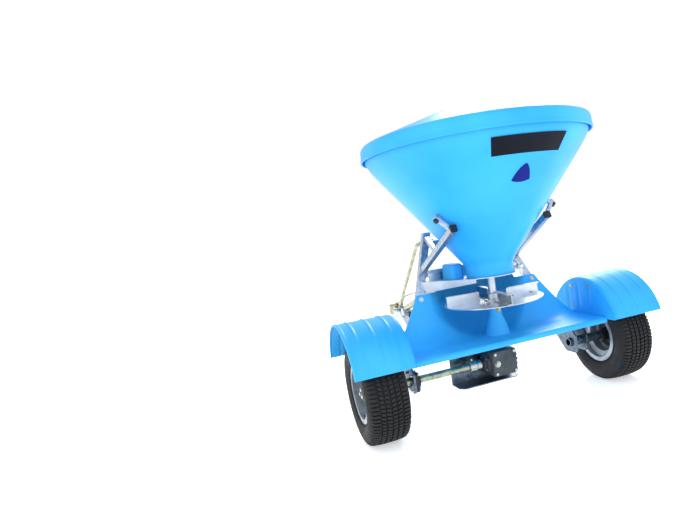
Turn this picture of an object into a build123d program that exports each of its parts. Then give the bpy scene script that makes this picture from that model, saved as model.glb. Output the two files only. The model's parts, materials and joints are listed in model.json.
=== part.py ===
from build123d import *
import os
from math import atan2, cos, degrees, hypot, radians, sin

os.makedirs("parts", exist_ok=True)

# A tow-behind, ground-driven broadcast spreader, in millimetres.
# X runs across the axle, +Y points forward along the drawbar, +Z is up and Z = 0 is the ground.
# Pieces are built with the axle over Y = 0 and moved by axle_y as they are written, so that the
# finished machine stands with its bounding box centred on the origin.

# ---- wheels and axle ----
tyre_diameter = 406
tyre_width = 165
tyre_tread = 14
tyre_sidewall = 9
bead_diameter = 203.2
rim_flange_diameter = 230
rim_width = 140
rim_sheet = 4
track = 1114
shaft_diameter = 30
stub_diameter = 40
hub_diameter = 62
hub_length = 84
hub_flange_diameter = 124
wheel_bolt_circle = 101.6
wheel_bolt_count = 4
wheel_bolt_size = 12
running_gap = 0.05

# ---- hopper and lid ----
hopper_wall = 6
neck_radius = 99
neck_bottom = 569
crease_height = 617
cone_top = 1068
rim_top = 1129
rim_bead = 8
lid_radius = 464
hopper_radius = lid_radius - 18
lid_wall = 5
lid_skirt = 52
lid_shoulder = 1135
lid_rise = 142

# ---- spinner ----
disc_radius = 206
disc_height = 458
disc_sheet = 3
vane_length = 142
vane_height = 42
vane_flange = 20
vane_count = 4
vane_turn = -7
output_diameter = 25
sleeve_diameter = 33
agitator_reach = 62

# ---- frame ----
beam_side = 50
beam_y = 89
beam_z = 278
beam_half = 446
upright_side = 35
upright_foot = (350, 89, 303)
upright_top = (165, 245, 775)
strut_side = 25
strut_head = (206, -150, 779)
strut_foot_z = 611
brace_side = 20
arm_side = 16
arm_end = (260, -118, 834)
crossbar_side = 30
top_crossbar_z = 723
deck_crossbar_z = 599
tube_wall = 3
drawbar_side = 40
drawbar_spread = 300
stay_side = 32
coupling_reach = 1500
ball_bore = 50.8
ball_y = coupling_reach - 40
head_width = 90
head_rear = coupling_reach - 300
head_front = coupling_reach - 140
head_bottom = 235
head_top = 292

# ---- deck, gate and lever ----
tray_sheet = 3
tray_collar = 112
tray_front = 171
tray_flange_front = 46
tray_flange_rear = 14
port_half = 32
port_rear = 26
port_front = 86
gate_sheet = 2
gate_travel = 70
gate_gap = 0.5
crank_reach = 70
lever_swing = 60
lever_diameter = 20
lever_pivot = (-70, coupling_reach - 430, 342)
lever_corner = (-130, 470, 728)
hook_end_x = -50

# ---- mouldings ----
apron_wall = 5
apron_floor = 312
apron_rear = -146
apron_lip = 18
apron_top = 544
strip_top = 518
apron_neck = 190
apron_bend = 95
bowl_radius = disc_radius + 21
bowl_foot = 60
guard_width = 232
guard_radius = 239
guard_wall = 5
guard_y = 16
guard_lift = 40
guard_end_angle = 17
boot_base = 52
boot_top = 23
boot_height = disc_height - apron_floor - 17

# ---- gearbox ----
gear_teeth = 45
pinion_teeth = 15
gear_module = 1.75
mesh_gap = 0.5
box_left = -70
box_right = 44
box_rear = -50
box_front = 60
box_half_height = 53
box_wall = 9
cover_sheet = 8

axle_z = tyre_diameter / 2
wheel_x = track / 2
axle_y = -(coupling_reach - lid_radius) / 2
tray_top = neck_bottom
gate_bottom = tray_top - tray_sheet - gate_gap - gate_sheet


def keep(piece, label):
    """Label a finished piece, move it to the machine's own frame and write it."""
    finished = piece.moved(Location((0, axle_y, 0)))
    finished.label = label
    export_step(finished, f"parts/{label}.step")


def mirrored(piece):
    return piece.mirror(Plane.YZ)


def between(start, end, share):
    return tuple(a + (b - a) * share for a, b in zip(start, end))


def at_height(start, end, z):
    return between(start, end, (z - start[2]) / (end[2] - start[2]))


def along(start, end):
    """A plane at start whose normal runs to end, with its own X kept as level as it can be."""
    normal = (Vector(*end) - Vector(*start)).normalized()
    across = Vector(0, 1, 0) if abs(normal.X) > 0.9 else Vector(1, 0, 0)
    return Plane(origin=start, x_dir=across - normal * normal.dot(across), z_dir=normal)


def distance(start, end):
    return (Vector(*end) - Vector(*start)).length


def bar(start, end, side, past=0):
    """A solid square bar: the space that a square tube takes up."""
    with BuildPart() as solid_bar:
        with BuildSketch(along(start, end).offset(-past)):
            Rectangle(side, side)
        extrude(amount=distance(start, end) + 2 * past)
    return solid_bar.part


def tube(start, end, side, cutters=(), past=0):
    """A square tube with rounded corners, trimmed where it meets the given solids."""
    with BuildPart() as square_tube:
        with BuildSketch(along(start, end).offset(-past)):
            RectangleRounded(side, side, side * 0.12)
            Rectangle(side - 2 * tube_wall, side - 2 * tube_wall, mode=Mode.SUBTRACT)
        extrude(amount=distance(start, end) + 2 * past)
        for cutter in cutters:
            add(cutter, mode=Mode.SUBTRACT)
    return square_tube.part


def largest(part):
    """The main solid of a trimmed tube, without the crumbs that trimming leaves."""
    return Part(part.solids().sort_by(SortBy.VOLUME)[-1].wrapped)


def spun(points, origin, direction, x_dir, z_dir):
    """A closed outline of straight sides turned about a line through its local X axis."""
    with BuildPart() as turned:
        with BuildSketch(Plane(origin=origin, x_dir=x_dir, z_dir=z_dir)):
            with BuildLine():
                Polyline(*points, close=True)
            make_face()
        revolve(axis=Axis(origin, direction))
    return turned.part


def spun_x(x, points):
    """Turn (along, radius) points about the axle line, measured outward from x."""
    return spun(points, (x, 0, axle_z), (1, 0, 0), (1, 0, 0), (0, 0, 1))


def spun_z(points):
    """Turn (height, radius) points about the spinner's upright axis."""
    return spun(points, (0, 0, 0), (0, 0, 1), (0, 0, 1), (0, 1, 0))


def rod(start, end, radius):
    with BuildPart() as round_rod:
        with BuildSketch(along(start, end)):
            Circle(radius)
        extrude(amount=distance(start, end))
    return round_rod.part


def bolt(seat, outward, size, grip, head=None):
    """A hexagon bolt: its head stands outward from the seat and its shank runs back through it."""
    width = head or size * 1.6
    with BuildPart() as hexagon_bolt:
        with BuildSketch(Plane(origin=seat, z_dir=outward)):
            RegularPolygon(width / 2, 6)
        extrude(amount=size * 0.62)
        if grip:
            with BuildSketch(Plane(origin=seat, z_dir=outward)):
                Circle(size / 2)
            extrude(amount=-grip)
    return hexagon_bolt.part


def group(pieces):
    return Compound(children=[Part(piece.wrapped) for piece in pieces])


def keep_pair(left, label):
    """Write a left-hand piece and its mirror image as the two solids of one node."""
    keep(group([left, mirrored(left)]), label)


# ---- chassis tubes ----

def upright_space(side):
    foot = (side * upright_foot[0], *upright_foot[1:])
    top = (side * upright_top[0], *upright_top[1:])
    return bar(foot, top, upright_side, past=80)


with BuildPart() as main_beam:
    with BuildSketch(Plane(origin=(-beam_half, beam_y, beam_z), x_dir=(0, 1, 0), z_dir=(1, 0, 0))):
        RectangleRounded(beam_side, beam_side, 5)
        Rectangle(beam_side - 2 * tube_wall, beam_side - 2 * tube_wall, mode=Mode.SUBTRACT)
    extrude(amount=2 * beam_half)

with BuildPart() as beam_space:
    with Locations((0, beam_y, beam_z)):
        Box(2 * beam_half, beam_side, beam_side)

with BuildPart() as left_upright:
    add(tube((-upright_foot[0], *upright_foot[1:]), (-upright_top[0], *upright_top[1:]), upright_side,
             past=30))
    split(bisect_by=Plane.XY.offset(beam_z + beam_side / 2), keep=Keep.TOP)
    split(bisect_by=Plane.XY.offset(upright_top[2]), keep=Keep.BOTTOM)

upright_spaces = [upright_space(-1), upright_space(1)]


def crossbar(z):
    x, y, _ = at_height(upright_foot, upright_top, z)
    return largest(tube((-x, y, z), (x, y, z), crossbar_side, upright_spaces, past=0))


strut_foot = at_height(upright_foot, upright_top, strut_foot_z)
left_strut_ends = [(-strut_foot[0], *strut_foot[1:]), (-strut_head[0], *strut_head[1:])]
strut_space = bar(*left_strut_ends, strut_side)
left_strut = largest(tube(*left_strut_ends, strut_side, [upright_spaces[0]]))

brace_top = at_height(upright_foot, upright_top, upright_top[2] - 18)
brace_foot = between(strut_foot, strut_head, 0.5)
brace_ends = [(-brace_foot[0], *brace_foot[1:]), (-brace_top[0], *brace_top[1:])]
left_brace = largest(tube(*brace_ends, brace_side, [upright_spaces[0], strut_space]))

strut_axis = along(*left_strut_ends)
strut_length = distance(*left_strut_ends)
with BuildPart() as left_strut_cap:
    with BuildSketch(strut_axis.offset(strut_length)):
        RectangleRounded(strut_side + 3, strut_side + 3, 4)
    extrude(amount=8)
    with BuildSketch(strut_axis.offset(strut_length)):
        Rectangle(strut_side - 2 * tube_wall - 0.4, strut_side - 2 * tube_wall - 0.4)
    extrude(amount=-14)

# The hopper's outer wall, as a line in the (radius, height) plane.
cone_slope = (hopper_radius - neck_radius) / (cone_top - crease_height)
cone_angle = atan2(hopper_radius - neck_radius, cone_top - crease_height)


def cone_radius(z):
    return neck_radius + (z - crease_height) * cone_slope


arm_start = between(left_strut_ends[0], left_strut_ends[1], 0.965)
left_arm_end = (-arm_end[0], *arm_end[1:])
with BuildPart() as left_arm_blank:
    with BuildSketch(along(arm_start, left_arm_end)):
        RectangleRounded(arm_side, arm_side, 3)
    extrude(amount=distance(arm_start, left_arm_end))
    add(strut_space, mode=Mode.SUBTRACT)

arm_bolt_seat = Vector(*between(arm_start, left_arm_end, 0.84))
radial = Vector(arm_bolt_seat.X, arm_bolt_seat.Y, 0).normalized()
cone_normal = radial * cos(cone_angle) - Vector(0, 0, 1) * sin(cone_angle)
wall_gap = (hypot(arm_bolt_seat.X, arm_bolt_seat.Y) - cone_radius(arm_bolt_seat.Z)) * cos(cone_angle)
with BuildPart() as left_hopper_bolt:
    with BuildSketch(Plane(origin=arm_bolt_seat + cone_normal * (arm_side / 2), z_dir=cone_normal)):
        Circle(arm_side * 0.68)
    extrude(amount=9)
    chamfer(left_hopper_bolt.faces().sort_by(Axis(arm_bolt_seat, cone_normal))[-1].edges(), 2)
    with BuildSketch(Plane(origin=arm_bolt_seat + cone_normal * (arm_side / 2), z_dir=cone_normal)):
        Circle(5)
    extrude(amount=-(arm_side / 2 + wall_gap + hopper_wall + 12))
with BuildPart() as left_hopper_arm:
    add(left_arm_blank.part)
    with BuildSketch(Plane(origin=arm_bolt_seat, z_dir=cone_normal)):
        Circle(arm_side * 0.62)
    extrude(amount=-(wall_gap - 0.4))
    add(left_hopper_bolt.part, mode=Mode.SUBTRACT)
left_arm = largest(left_hopper_arm.part)

keep(main_beam.part, "main_beam")
deck_crossbar = crossbar(deck_crossbar_z)
keep(group([deck_crossbar, crossbar(top_crossbar_z)]), "crossbars")
keep_pair(left_upright.part, "uprights")
keep_pair(left_strut, "struts")
keep_pair(left_brace, "braces")
keep_pair(left_arm, "hopper_arms")
keep_pair(left_strut_cap.part, "strut_end_caps")
keep_pair(left_hopper_bolt.part, "hopper_bolts")

# ---- drawbar ----

head_z = (head_top + head_bottom) / 2
with BuildPart() as head_space:
    with Locations((0, (head_rear + head_front) / 2, head_z)):
        Box(head_width, head_front - head_rear, head_top - head_bottom)
left_arm_ends = [(-drawbar_spread, beam_y, beam_z), (-12, head_rear + 70, head_z + 2)]
left_drawbar = largest(tube(*left_arm_ends, drawbar_side, [beam_space.part, head_space.part]))
keep_pair(left_drawbar, "drawbar_arms")

with BuildPart() as drawbar_head:
    with BuildSketch(Plane(origin=(0, head_rear, head_z), x_dir=(1, 0, 0), z_dir=(0, 1, 0))):
        RectangleRounded(head_width, head_top - head_bottom, 6)
        Rectangle(head_width - 12, head_top - head_bottom - 12, mode=Mode.SUBTRACT)
    extrude(amount=head_front - head_rear)
    fillet(drawbar_head.edges().filter_by(Axis.X).group_by(Axis.Y)[-1], 1.5)

_, deck_bar_y, _ = at_height(upright_foot, upright_top, deck_crossbar_z)
stay_foot = (0, head_rear + 66, head_top)
stay_top = (0, deck_bar_y, deck_crossbar_z - 4)
with BuildPart() as deck_bar_space:
    with Locations((0, deck_bar_y, deck_crossbar_z)):
        Box(400, crossbar_side + 4, crossbar_side + 4)
centre_stay = largest(tube(stay_foot, stay_top, stay_side, [deck_bar_space.part, head_space.part],
                           past=20))
keep(centre_stay, "centre_stay")

# The coupling: a pressed cup over the ball, a body behind it and a tongue bolted to the head.
cup_radius = coupling_reach - ball_y
cup_bottom = head_top - 46
cup_top = head_top + 22
tongue_rear = head_rear + 92
coupling_bolt_y = [head_front - 46, head_front - 12]
with BuildPart() as coupling_body:
    with BuildSketch(Plane.XY.offset(cup_bottom)):
        with Locations((0, ball_y)):
            Circle(cup_radius)
        with Locations((0, (ball_y + head_front) / 2)):
            Rectangle(58, ball_y - head_front - 1)
    extrude(amount=cup_top - cup_bottom)
    with BuildSketch(Plane.XY.offset(head_top)):
        with Locations((0, (tongue_rear + ball_y) / 2)):
            Rectangle(58, ball_y - tongue_rear)
    extrude(amount=10)
    fillet(coupling_body.edges().group_by(Axis.Z)[-1], 9)
    with BuildSketch(Plane.XY.offset(cup_bottom)):
        with Locations((0, ball_y)):
            Circle(ball_bore / 2)
    extrude(amount=38, mode=Mode.SUBTRACT)
    with BuildSketch(Plane.XY.offset(head_top)):
        with Locations(*[(0, y) for y in coupling_bolt_y]):
            Circle(6)
    extrude(amount=10, mode=Mode.SUBTRACT)
    with BuildSketch(Plane.XY.offset(cup_top - 16)):
        with Locations((0, ball_y - 44)):
            Rectangle(12, 62)
    extrude(amount=40, mode=Mode.SUBTRACT)
coupling_bolts = [bolt((0, y, head_top + 10), (0, 0, 1), 12, 24) for y in coupling_bolt_y]
with BuildPart() as drilled_head:
    add(drawbar_head.part)
    for fixing in coupling_bolts:
        add(fixing, mode=Mode.SUBTRACT)
keep(drilled_head.part, "drawbar_head")

# The latch turns on a pin across the slot in the coupling and its handle lies back over the tongue.
latch_y = ball_y - 48
latch_z = cup_top - 2
latch_pin_radius = 4
with BuildPart() as latch_pin:
    with BuildSketch(Plane(origin=(-27, latch_y, latch_z), z_dir=(1, 0, 0))):
        Circle(latch_pin_radius)
    extrude(amount=54)
with BuildPart() as pinned_coupling:
    add(coupling_body.part)
    with BuildSketch(Plane(origin=(-22, latch_y, latch_z), x_dir=(0, 1, 0), z_dir=(1, 0, 0))):
        Circle(10)
        Circle(latch_pin_radius, mode=Mode.SUBTRACT)
    extrude(amount=12)
    with BuildSketch(Plane(origin=(10, latch_y, latch_z), x_dir=(0, 1, 0), z_dir=(1, 0, 0))):
        Circle(10)
        Circle(latch_pin_radius, mode=Mode.SUBTRACT)
    extrude(amount=12)
    add(latch_pin.part, mode=Mode.SUBTRACT)
    with BuildSketch(Plane(origin=(-6, latch_y, latch_z), z_dir=(1, 0, 0))):
        Circle(14)
    extrude(amount=12, mode=Mode.SUBTRACT)
keep(pinned_coupling.part, "coupling_body")

with BuildPart() as coupling_latch:
    with BuildSketch(Plane(origin=(-4.5, latch_y, latch_z), x_dir=(0, 1, 0), z_dir=(1, 0, 0))):
        with BuildLine():
            Polyline((10, -5), (14, 4), (6, 13), (-30, 24), (-112, 24), (-118, 18), (-112, 13),
                     (-34, 12), (-10, -5), close=True)
        make_face()
        Circle(11)
        Circle(latch_pin_radius + running_gap, mode=Mode.SUBTRACT)
    extrude(amount=9)
    with BuildSketch(Plane(origin=(0, latch_y - 82, latch_z + 24), z_dir=(0, 0, 1))):
        RectangleRounded(26, 62, 6)
    extrude(amount=5)
keep(coupling_latch.part, "coupling_latch")

# ---- hopper and lid ----

with BuildPart() as hopper_shell:
    with BuildSketch(Plane.XZ):
        with BuildLine():
            Polyline((neck_radius - hopper_wall, neck_bottom), (neck_radius, neck_bottom),
                     (neck_radius, crease_height), (hopper_radius, cone_top),
                     (hopper_radius, rim_top - 22), (hopper_radius + rim_bead, rim_top - 14),
                     (hopper_radius + rim_bead, rim_top), (hopper_radius - hopper_wall, rim_top),
                     (hopper_radius - hopper_wall, cone_top + 2),
                     (neck_radius - hopper_wall, crease_height + 2), close=True)
        make_face()
    revolve(axis=Axis.Z)
    fillet(hopper_shell.edges().filter_by(GeomType.CIRCLE).filter_by(
        lambda edge: abs(edge.radius - hopper_radius) < 1 and abs(edge.center().Z - cone_top) < 1), 40)
    add(left_hopper_bolt.part, mode=Mode.SUBTRACT)
    add(mirrored(left_hopper_bolt.part), mode=Mode.SUBTRACT)
keep(hopper_shell.part, "hopper")

lid_apex = lid_shoulder + lid_rise
with BuildPart() as lid:
    with BuildSketch(Plane.XZ):
        with BuildLine():
            Polyline((0, lid_apex - lid_wall), (0, lid_apex), (26, lid_apex),
                     (lid_radius - 6, lid_shoulder), (lid_radius, lid_shoulder - 6),
                     (lid_radius, lid_shoulder - lid_skirt),
                     (lid_radius - lid_wall, lid_shoulder - lid_skirt),
                     (lid_radius - lid_wall, rim_top), (hopper_radius + 3, rim_top),
                     (26, lid_apex - lid_wall), close=True)
        make_face()
    revolve(axis=Axis.Z)
    fillet(lid.edges().filter_by(GeomType.CIRCLE).filter_by(
        lambda edge: abs(edge.radius - lid_radius) < 0.1 and abs(edge.center().Z - lid_shoulder + 6) < 1), 5)
    fillet(lid.edges().filter_by(GeomType.CIRCLE).filter_by(
        lambda edge: abs(edge.radius - 26) < 0.1 and abs(edge.center().Z - lid_apex) < 1), 60)
keep(lid.part, "lid")

# ---- deck tray, linkage cover and gate ----

tray_bottom = tray_top - tray_sheet
upright_x, upright_y, _ = at_height(upright_foot, upright_top, tray_top)
flange_front = (upright_x + 8, upright_y - 20)
flange_rear = (tray_collar - 8, -72)
flange_run = hypot(flange_front[0] - flange_rear[0], flange_front[1] - flange_rear[1])
flange_plane = Plane(origin=(*flange_rear, tray_bottom),
                     x_dir=(flange_front[0] - flange_rear[0], flange_front[1] - flange_rear[1], 0),
                     z_dir=(flange_front[1] - flange_rear[1], flange_rear[0] - flange_front[0], 0))
with BuildPart() as right_flange:
    with BuildSketch(flange_plane):
        with BuildLine():
            Polyline((0, 0), (flange_run, 0), (flange_run, -tray_flange_front),
                     (0, -tray_flange_rear), close=True)
        make_face()
    extrude(amount=-tray_sheet)
with BuildPart() as deck_tray:
    with BuildSketch(Plane.XY.offset(tray_bottom)):
        Circle(tray_collar)
        Polygon((-flange_front[0], flange_front[1]), (-flange_front[0] + 10, tray_front),
                (flange_front[0] - 10, tray_front), flange_front, flange_rear,
                (-flange_rear[0], flange_rear[1]), align=None)
        with Locations((0, (port_rear + port_front) / 2)):
            Rectangle(2 * port_half, port_front - port_rear, mode=Mode.SUBTRACT)
        Circle(sleeve_diameter / 2 + 5, mode=Mode.SUBTRACT)
    extrude(amount=tray_sheet)
    add(right_flange.part)
    add(mirrored(right_flange.part))
    with Locations((0, tray_front - tray_sheet / 2, (tray_bottom + deck_crossbar_z) / 2)):
        Box(2 * (upright_x - upright_side), tray_sheet, deck_crossbar_z - tray_bottom)
    for space in upright_spaces:
        add(space, mode=Mode.SUBTRACT)
    add(deck_crossbar, mode=Mode.SUBTRACT)
keep(deck_tray.part, "deck_tray")

# Four clamp clips hold the hopper's foot down on the tray.
clip_reach = 10
hopper_clips = []
for angle in (335, 30, 75, 120):
    outward = Vector(cos(radians(angle)), sin(radians(angle)), 0)
    seat = outward * (neck_radius + 0.3)
    with BuildPart() as clip:
        with BuildSketch(Plane(origin=seat + Vector(0, 0, tray_top), x_dir=outward, z_dir=(0, 0, 1))):
            with Locations((1.5, 0)):
                Rectangle(3, 24)
        extrude(amount=26)
    hopper_clips.append(clip.part)
keep(group(hopper_clips), "neck_clips")

cover_centre = (-124, 102)
with BuildPart() as linkage_cover:
    with BuildSketch(Plane.XY.offset(tray_top)):
        with Locations(cover_centre):
            RectangleRounded(60, 116, 18)
    extrude(amount=62, taper=4)
    fillet(linkage_cover.edges().group_by(Axis.Z)[-1], 9)
    offset(amount=-3, openings=linkage_cover.faces().sort_by(Axis.Z)[0])
keep(linkage_cover.part, "linkage_cover")

# The gate slides forward under the tray between two guides, and its rod runs down to the lever.
gate_half = port_half + 10
gate_rear = port_rear - 6
gate_front = 140
with BuildPart() as gate_plate:
    with BuildSketch(Plane.XY.offset(gate_bottom)):
        with Locations((0, (gate_rear + gate_front) / 2)):
            Rectangle(2 * gate_half, gate_front - gate_rear)
        with Locations((lever_pivot[0] / 2, gate_front - 12)):
            Rectangle(-lever_pivot[0] + 30, 24)
    extrude(amount=gate_sheet)
keep(gate_plate.part, "gate_plate")

with BuildPart() as right_guide:
    with BuildSketch(Plane(origin=(0, gate_rear - 4, tray_bottom), x_dir=(1, 0, 0), z_dir=(0, -1, 0))):
        with BuildLine():
            Polyline((gate_half + gate_gap, 0), (gate_half + 10, 0),
                     (gate_half + 10, -gate_sheet - 2 * gate_gap - 3),
                     (gate_half - 4, -gate_sheet - 2 * gate_gap - 3),
                     (gate_half - 4, -gate_sheet - 2 * gate_gap),
                     (gate_half + gate_gap, -gate_sheet - 2 * gate_gap), close=True)
        make_face()
    extrude(amount=-(port_front - gate_rear + 8))
keep_pair(right_guide.part, "gate_guides")

# At rest the crank leans back by half its swing, and the eye of the gate rod is a tall slot.
crank_lean = radians(lever_swing / 2)
eye_y = lever_pivot[1] - crank_reach * sin(crank_lean)
eye_z = lever_pivot[2] + crank_reach * cos(crank_lean)
eye_rise = crank_reach * (1 - cos(crank_lean))
eye_pin = 4
bracket_x = lever_pivot[0] - 3
bracket_sheet = 6
crank_x = bracket_x - 0.4 - 6
rod_x = crank_x + 13
rod_start = (rod_x, gate_front - 14, gate_bottom - 5)
rod_knee = (rod_x, gate_front + 40, gate_bottom - 5)
rod_eye = (rod_x, eye_y - eye_pin - 4.5, eye_z + eye_rise / 2)
with BuildPart() as gate_rod:
    with BuildLine():
        FilletPolyline(rod_start, rod_knee, rod_eye, radius=40)
    with BuildSketch(Plane(origin=rod_start, z_dir=(0, 1, 0))):
        Circle(5)
    sweep()
    with BuildSketch(Plane(origin=(rod_x - 3, eye_y, eye_z + eye_rise / 2), x_dir=(0, 1, 0),
                           z_dir=(1, 0, 0))):
        SlotOverall(eye_rise + 34, 22, rotation=90)
        SlotOverall(eye_rise + 2 * eye_pin + 4, 2 * eye_pin + 3, rotation=90, mode=Mode.SUBTRACT)
    extrude(amount=6)
keep(gate_rod.part, "gate_rod")

# ---- lever ----

arm_y = lever_pivot[1]
with BuildPart() as lever_bracket:
    with BuildSketch(Plane(origin=(bracket_x, arm_y, lever_pivot[2]), x_dir=(0, 1, 0),
                           z_dir=(1, 0, 0))):
        with BuildLine():
            Polyline((-32, -70), (32, -70), (14, 16), (-14, 16), close=True)
        make_face()
        Circle(6, mode=Mode.SUBTRACT)
    extrude(amount=bracket_sheet)
    add(bar(*left_arm_ends, drawbar_side), mode=Mode.SUBTRACT)
bracket = largest(lever_bracket.part)
keep(bracket, "lever_bracket")

with BuildPart() as lever_pivot_bolt:
    with BuildSketch(Plane(origin=(bracket_x + bracket_sheet, *lever_pivot[1:]), z_dir=(1, 0, 0))):
        RegularPolygon(10, 6)
    extrude(amount=7)
    with BuildSketch(Plane(origin=(bracket_x + bracket_sheet, *lever_pivot[1:]), z_dir=(1, 0, 0))):
        Circle(6)
    extrude(amount=-(bracket_sheet + 20))
    with BuildSketch(Plane(origin=(crank_x - 0.4, *lever_pivot[1:]), z_dir=(1, 0, 0))):
        RegularPolygon(10, 6)
    extrude(amount=-9)
keep(group([lever_pivot_bolt.part, latch_pin.part]), "pivot_pins")

lever_x = crank_x - lever_diameter / 2 + 3
lever_foot = (lever_x, lever_pivot[1] - 28, lever_pivot[2] + 24)
with BuildPart() as rate_lever:
    with BuildLine():
        FilletPolyline(lever_foot, lever_corner, (hook_end_x, *lever_corner[1:]), radius=30)
    with BuildSketch(along(lever_foot, lever_corner)):
        Circle(lever_diameter / 2)
    sweep()
    with BuildSketch(Plane(origin=(crank_x, *lever_pivot[1:]), x_dir=(0, 1, 0), z_dir=(1, 0, 0))):
        with BuildLine():
            Polyline((-14, -8), (12, -10), (14, 8), (eye_y - arm_y + 12, eye_z - lever_pivot[2] + 6),
                     (eye_y - arm_y - 12, eye_z - lever_pivot[2] + 8), (-66, 52), (-58, 36), close=True)
        make_face()
        Circle(6 + running_gap, mode=Mode.SUBTRACT)
    extrude(amount=6)
    with BuildSketch(Plane(origin=(crank_x, eye_y, eye_z), z_dir=(1, 0, 0))):
        Circle(eye_pin)
    extrude(amount=20)
    with BuildSketch(Plane(origin=(crank_x + 20, eye_y, eye_z), z_dir=(1, 0, 0))):
        Circle(eye_pin + 4)
    extrude(amount=2)
    with BuildSketch(Plane(origin=(hook_end_x - 14, *lever_corner[1:]), z_dir=(1, 0, 0))):
        Circle(lever_diameter / 2 + 4)
    extrude(amount=14)
keep(rate_lever.part, "rate_lever")

# ---- mouldings: apron, boot and mudguards ----

guard_left = wheel_x - guard_width / 2
apron_half = guard_left - 1
wall_lean = (upright_top[1] - upright_foot[1]) / (upright_top[2] - upright_foot[2])


wall_angle = atan2(upright_top[1] - upright_foot[1], upright_top[2] - upright_foot[2])


def wall_y(z):
    return upright_foot[1] + (z - upright_foot[2]) * wall_lean - upright_side * 0.54 - apron_wall


def edge_x(z):
    return at_height(upright_foot, upright_top, z)[0] + upright_side / 2 + 10


def apron_space(wall):
    """The air above the apron's floor and behind its back wall, grown by a wall's thickness."""
    floor = apron_floor - wall
    forward = wall / cos(wall_angle)
    rear = apron_rear if wall else apron_rear - 20
    with BuildPart() as space:
        with BuildSketch(Plane.YZ):
            with BuildLine():
                FilletPolyline((rear, floor),
                               (wall_y(floor) + forward, floor),
                               (wall_y(apron_top) + forward, apron_top), radius=apron_bend)
                Polyline((wall_y(apron_top) + forward, apron_top),
                         (rear, apron_top), (rear, floor))
            make_face()
        extrude(amount=apron_half, both=True)
        with BuildSketch(Plane.XZ):
            with BuildLine():
                Polyline((0, apron_top), (0, floor), (bowl_foot, floor))
                RadiusArc((bowl_foot, floor), (bowl_radius + wall, floor + bowl_radius + wall - bowl_foot),
                          -(bowl_radius + wall - bowl_foot))
                Polyline((bowl_radius + wall, floor + bowl_radius + wall - bowl_foot),
                         (bowl_radius + wall, apron_top), (0, apron_top))
            make_face()
        revolve(axis=Axis.Z)
    return space.part


with BuildPart() as apron:
    add(apron_space(apron_wall))
    add(apron_space(0), mode=Mode.SUBTRACT)
    with BuildSketch(Plane.YZ):
        with Locations((apron_rear + apron_wall / 2, apron_floor - apron_lip / 2)):
            Rectangle(apron_wall, apron_lip)
    extrude(amount=apron_half, both=True)
    with BuildSketch(Plane.XZ):
        with BuildLine():
            Polyline((apron_half, apron_floor - 60), (apron_half, apron_floor + 2))
            Spline((apron_half, apron_floor + 2), (edge_x(apron_floor + 60) + 16, apron_floor + 50),
                   (edge_x(apron_floor + 110), apron_floor + 110),
                   tangents=[(-1, 0.12), (edge_x(strip_top) - edge_x(apron_floor + 110),
                                          strip_top - apron_floor - 110)])
            Polyline((edge_x(apron_floor + 110), apron_floor + 110), (edge_x(strip_top), strip_top),
                     (apron_neck, strip_top), (apron_neck, apron_top + 10), (0, apron_top + 10),
                     (0, apron_floor - 60), (apron_half, apron_floor - 60))
        make_face()
        mirror(about=Plane.YZ)
    extrude(amount=600, both=True, mode=Mode.INTERSECT)
    with Locations((0, apron_rear - 500, apron_floor)):
        Box(2000, 1000, 1000, mode=Mode.SUBTRACT)
    for space in upright_spaces:
        add(space, mode=Mode.SUBTRACT)
    with BuildSketch(Plane.XY.offset(apron_floor - 30)):
        Circle(output_diameter / 2 + 6)
    extrude(amount=60, mode=Mode.SUBTRACT)
keep(largest(apron.part), "apron")

boot_z = apron_floor
with BuildPart() as shaft_boot:
    with BuildSketch(Plane.XZ):
        with BuildLine():
            Polyline((boot_base, boot_z), (boot_base - 3, boot_z + 14), (boot_base - 13, boot_z + 52),
                     (boot_base - 17, boot_z + 60), (boot_top + 3, boot_z + boot_height - 22),
                     (boot_top, boot_z + boot_height), (boot_top - 4, boot_z + boot_height),
                     (boot_top - 1, boot_z + boot_height - 24), (boot_base - 21, boot_z + 58),
                     (boot_base - 17, boot_z + 50), (boot_base - 7, boot_z + 12),
                     (boot_base - 5, boot_z), close=True)
        make_face()
    revolve(axis=Axis.Z)
    add(apron.part, mode=Mode.SUBTRACT)
keep(largest(shaft_boot.part), "shaft_boot")

guard_z = axle_z + guard_lift
guard_plane = Plane(origin=(guard_left, guard_y, guard_z), x_dir=(0, 1, 0), z_dir=(1, 0, 0))
end_y = guard_radius * cos(radians(guard_end_angle))
end_z = guard_radius * sin(radians(guard_end_angle))


def guard_band(outer, inner, start, width):
    """A strip of the wheel arch between two radii, cut off level with the guard's ends."""
    with BuildPart() as band:
        with BuildSketch(guard_plane.offset(start)):
            Circle(outer)
            Circle(inner, mode=Mode.SUBTRACT)
            with Locations((0, end_z - guard_radius)):
                Rectangle(4 * guard_radius, 2 * guard_radius, mode=Mode.SUBTRACT)
        extrude(amount=width)
    return band.part


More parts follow.
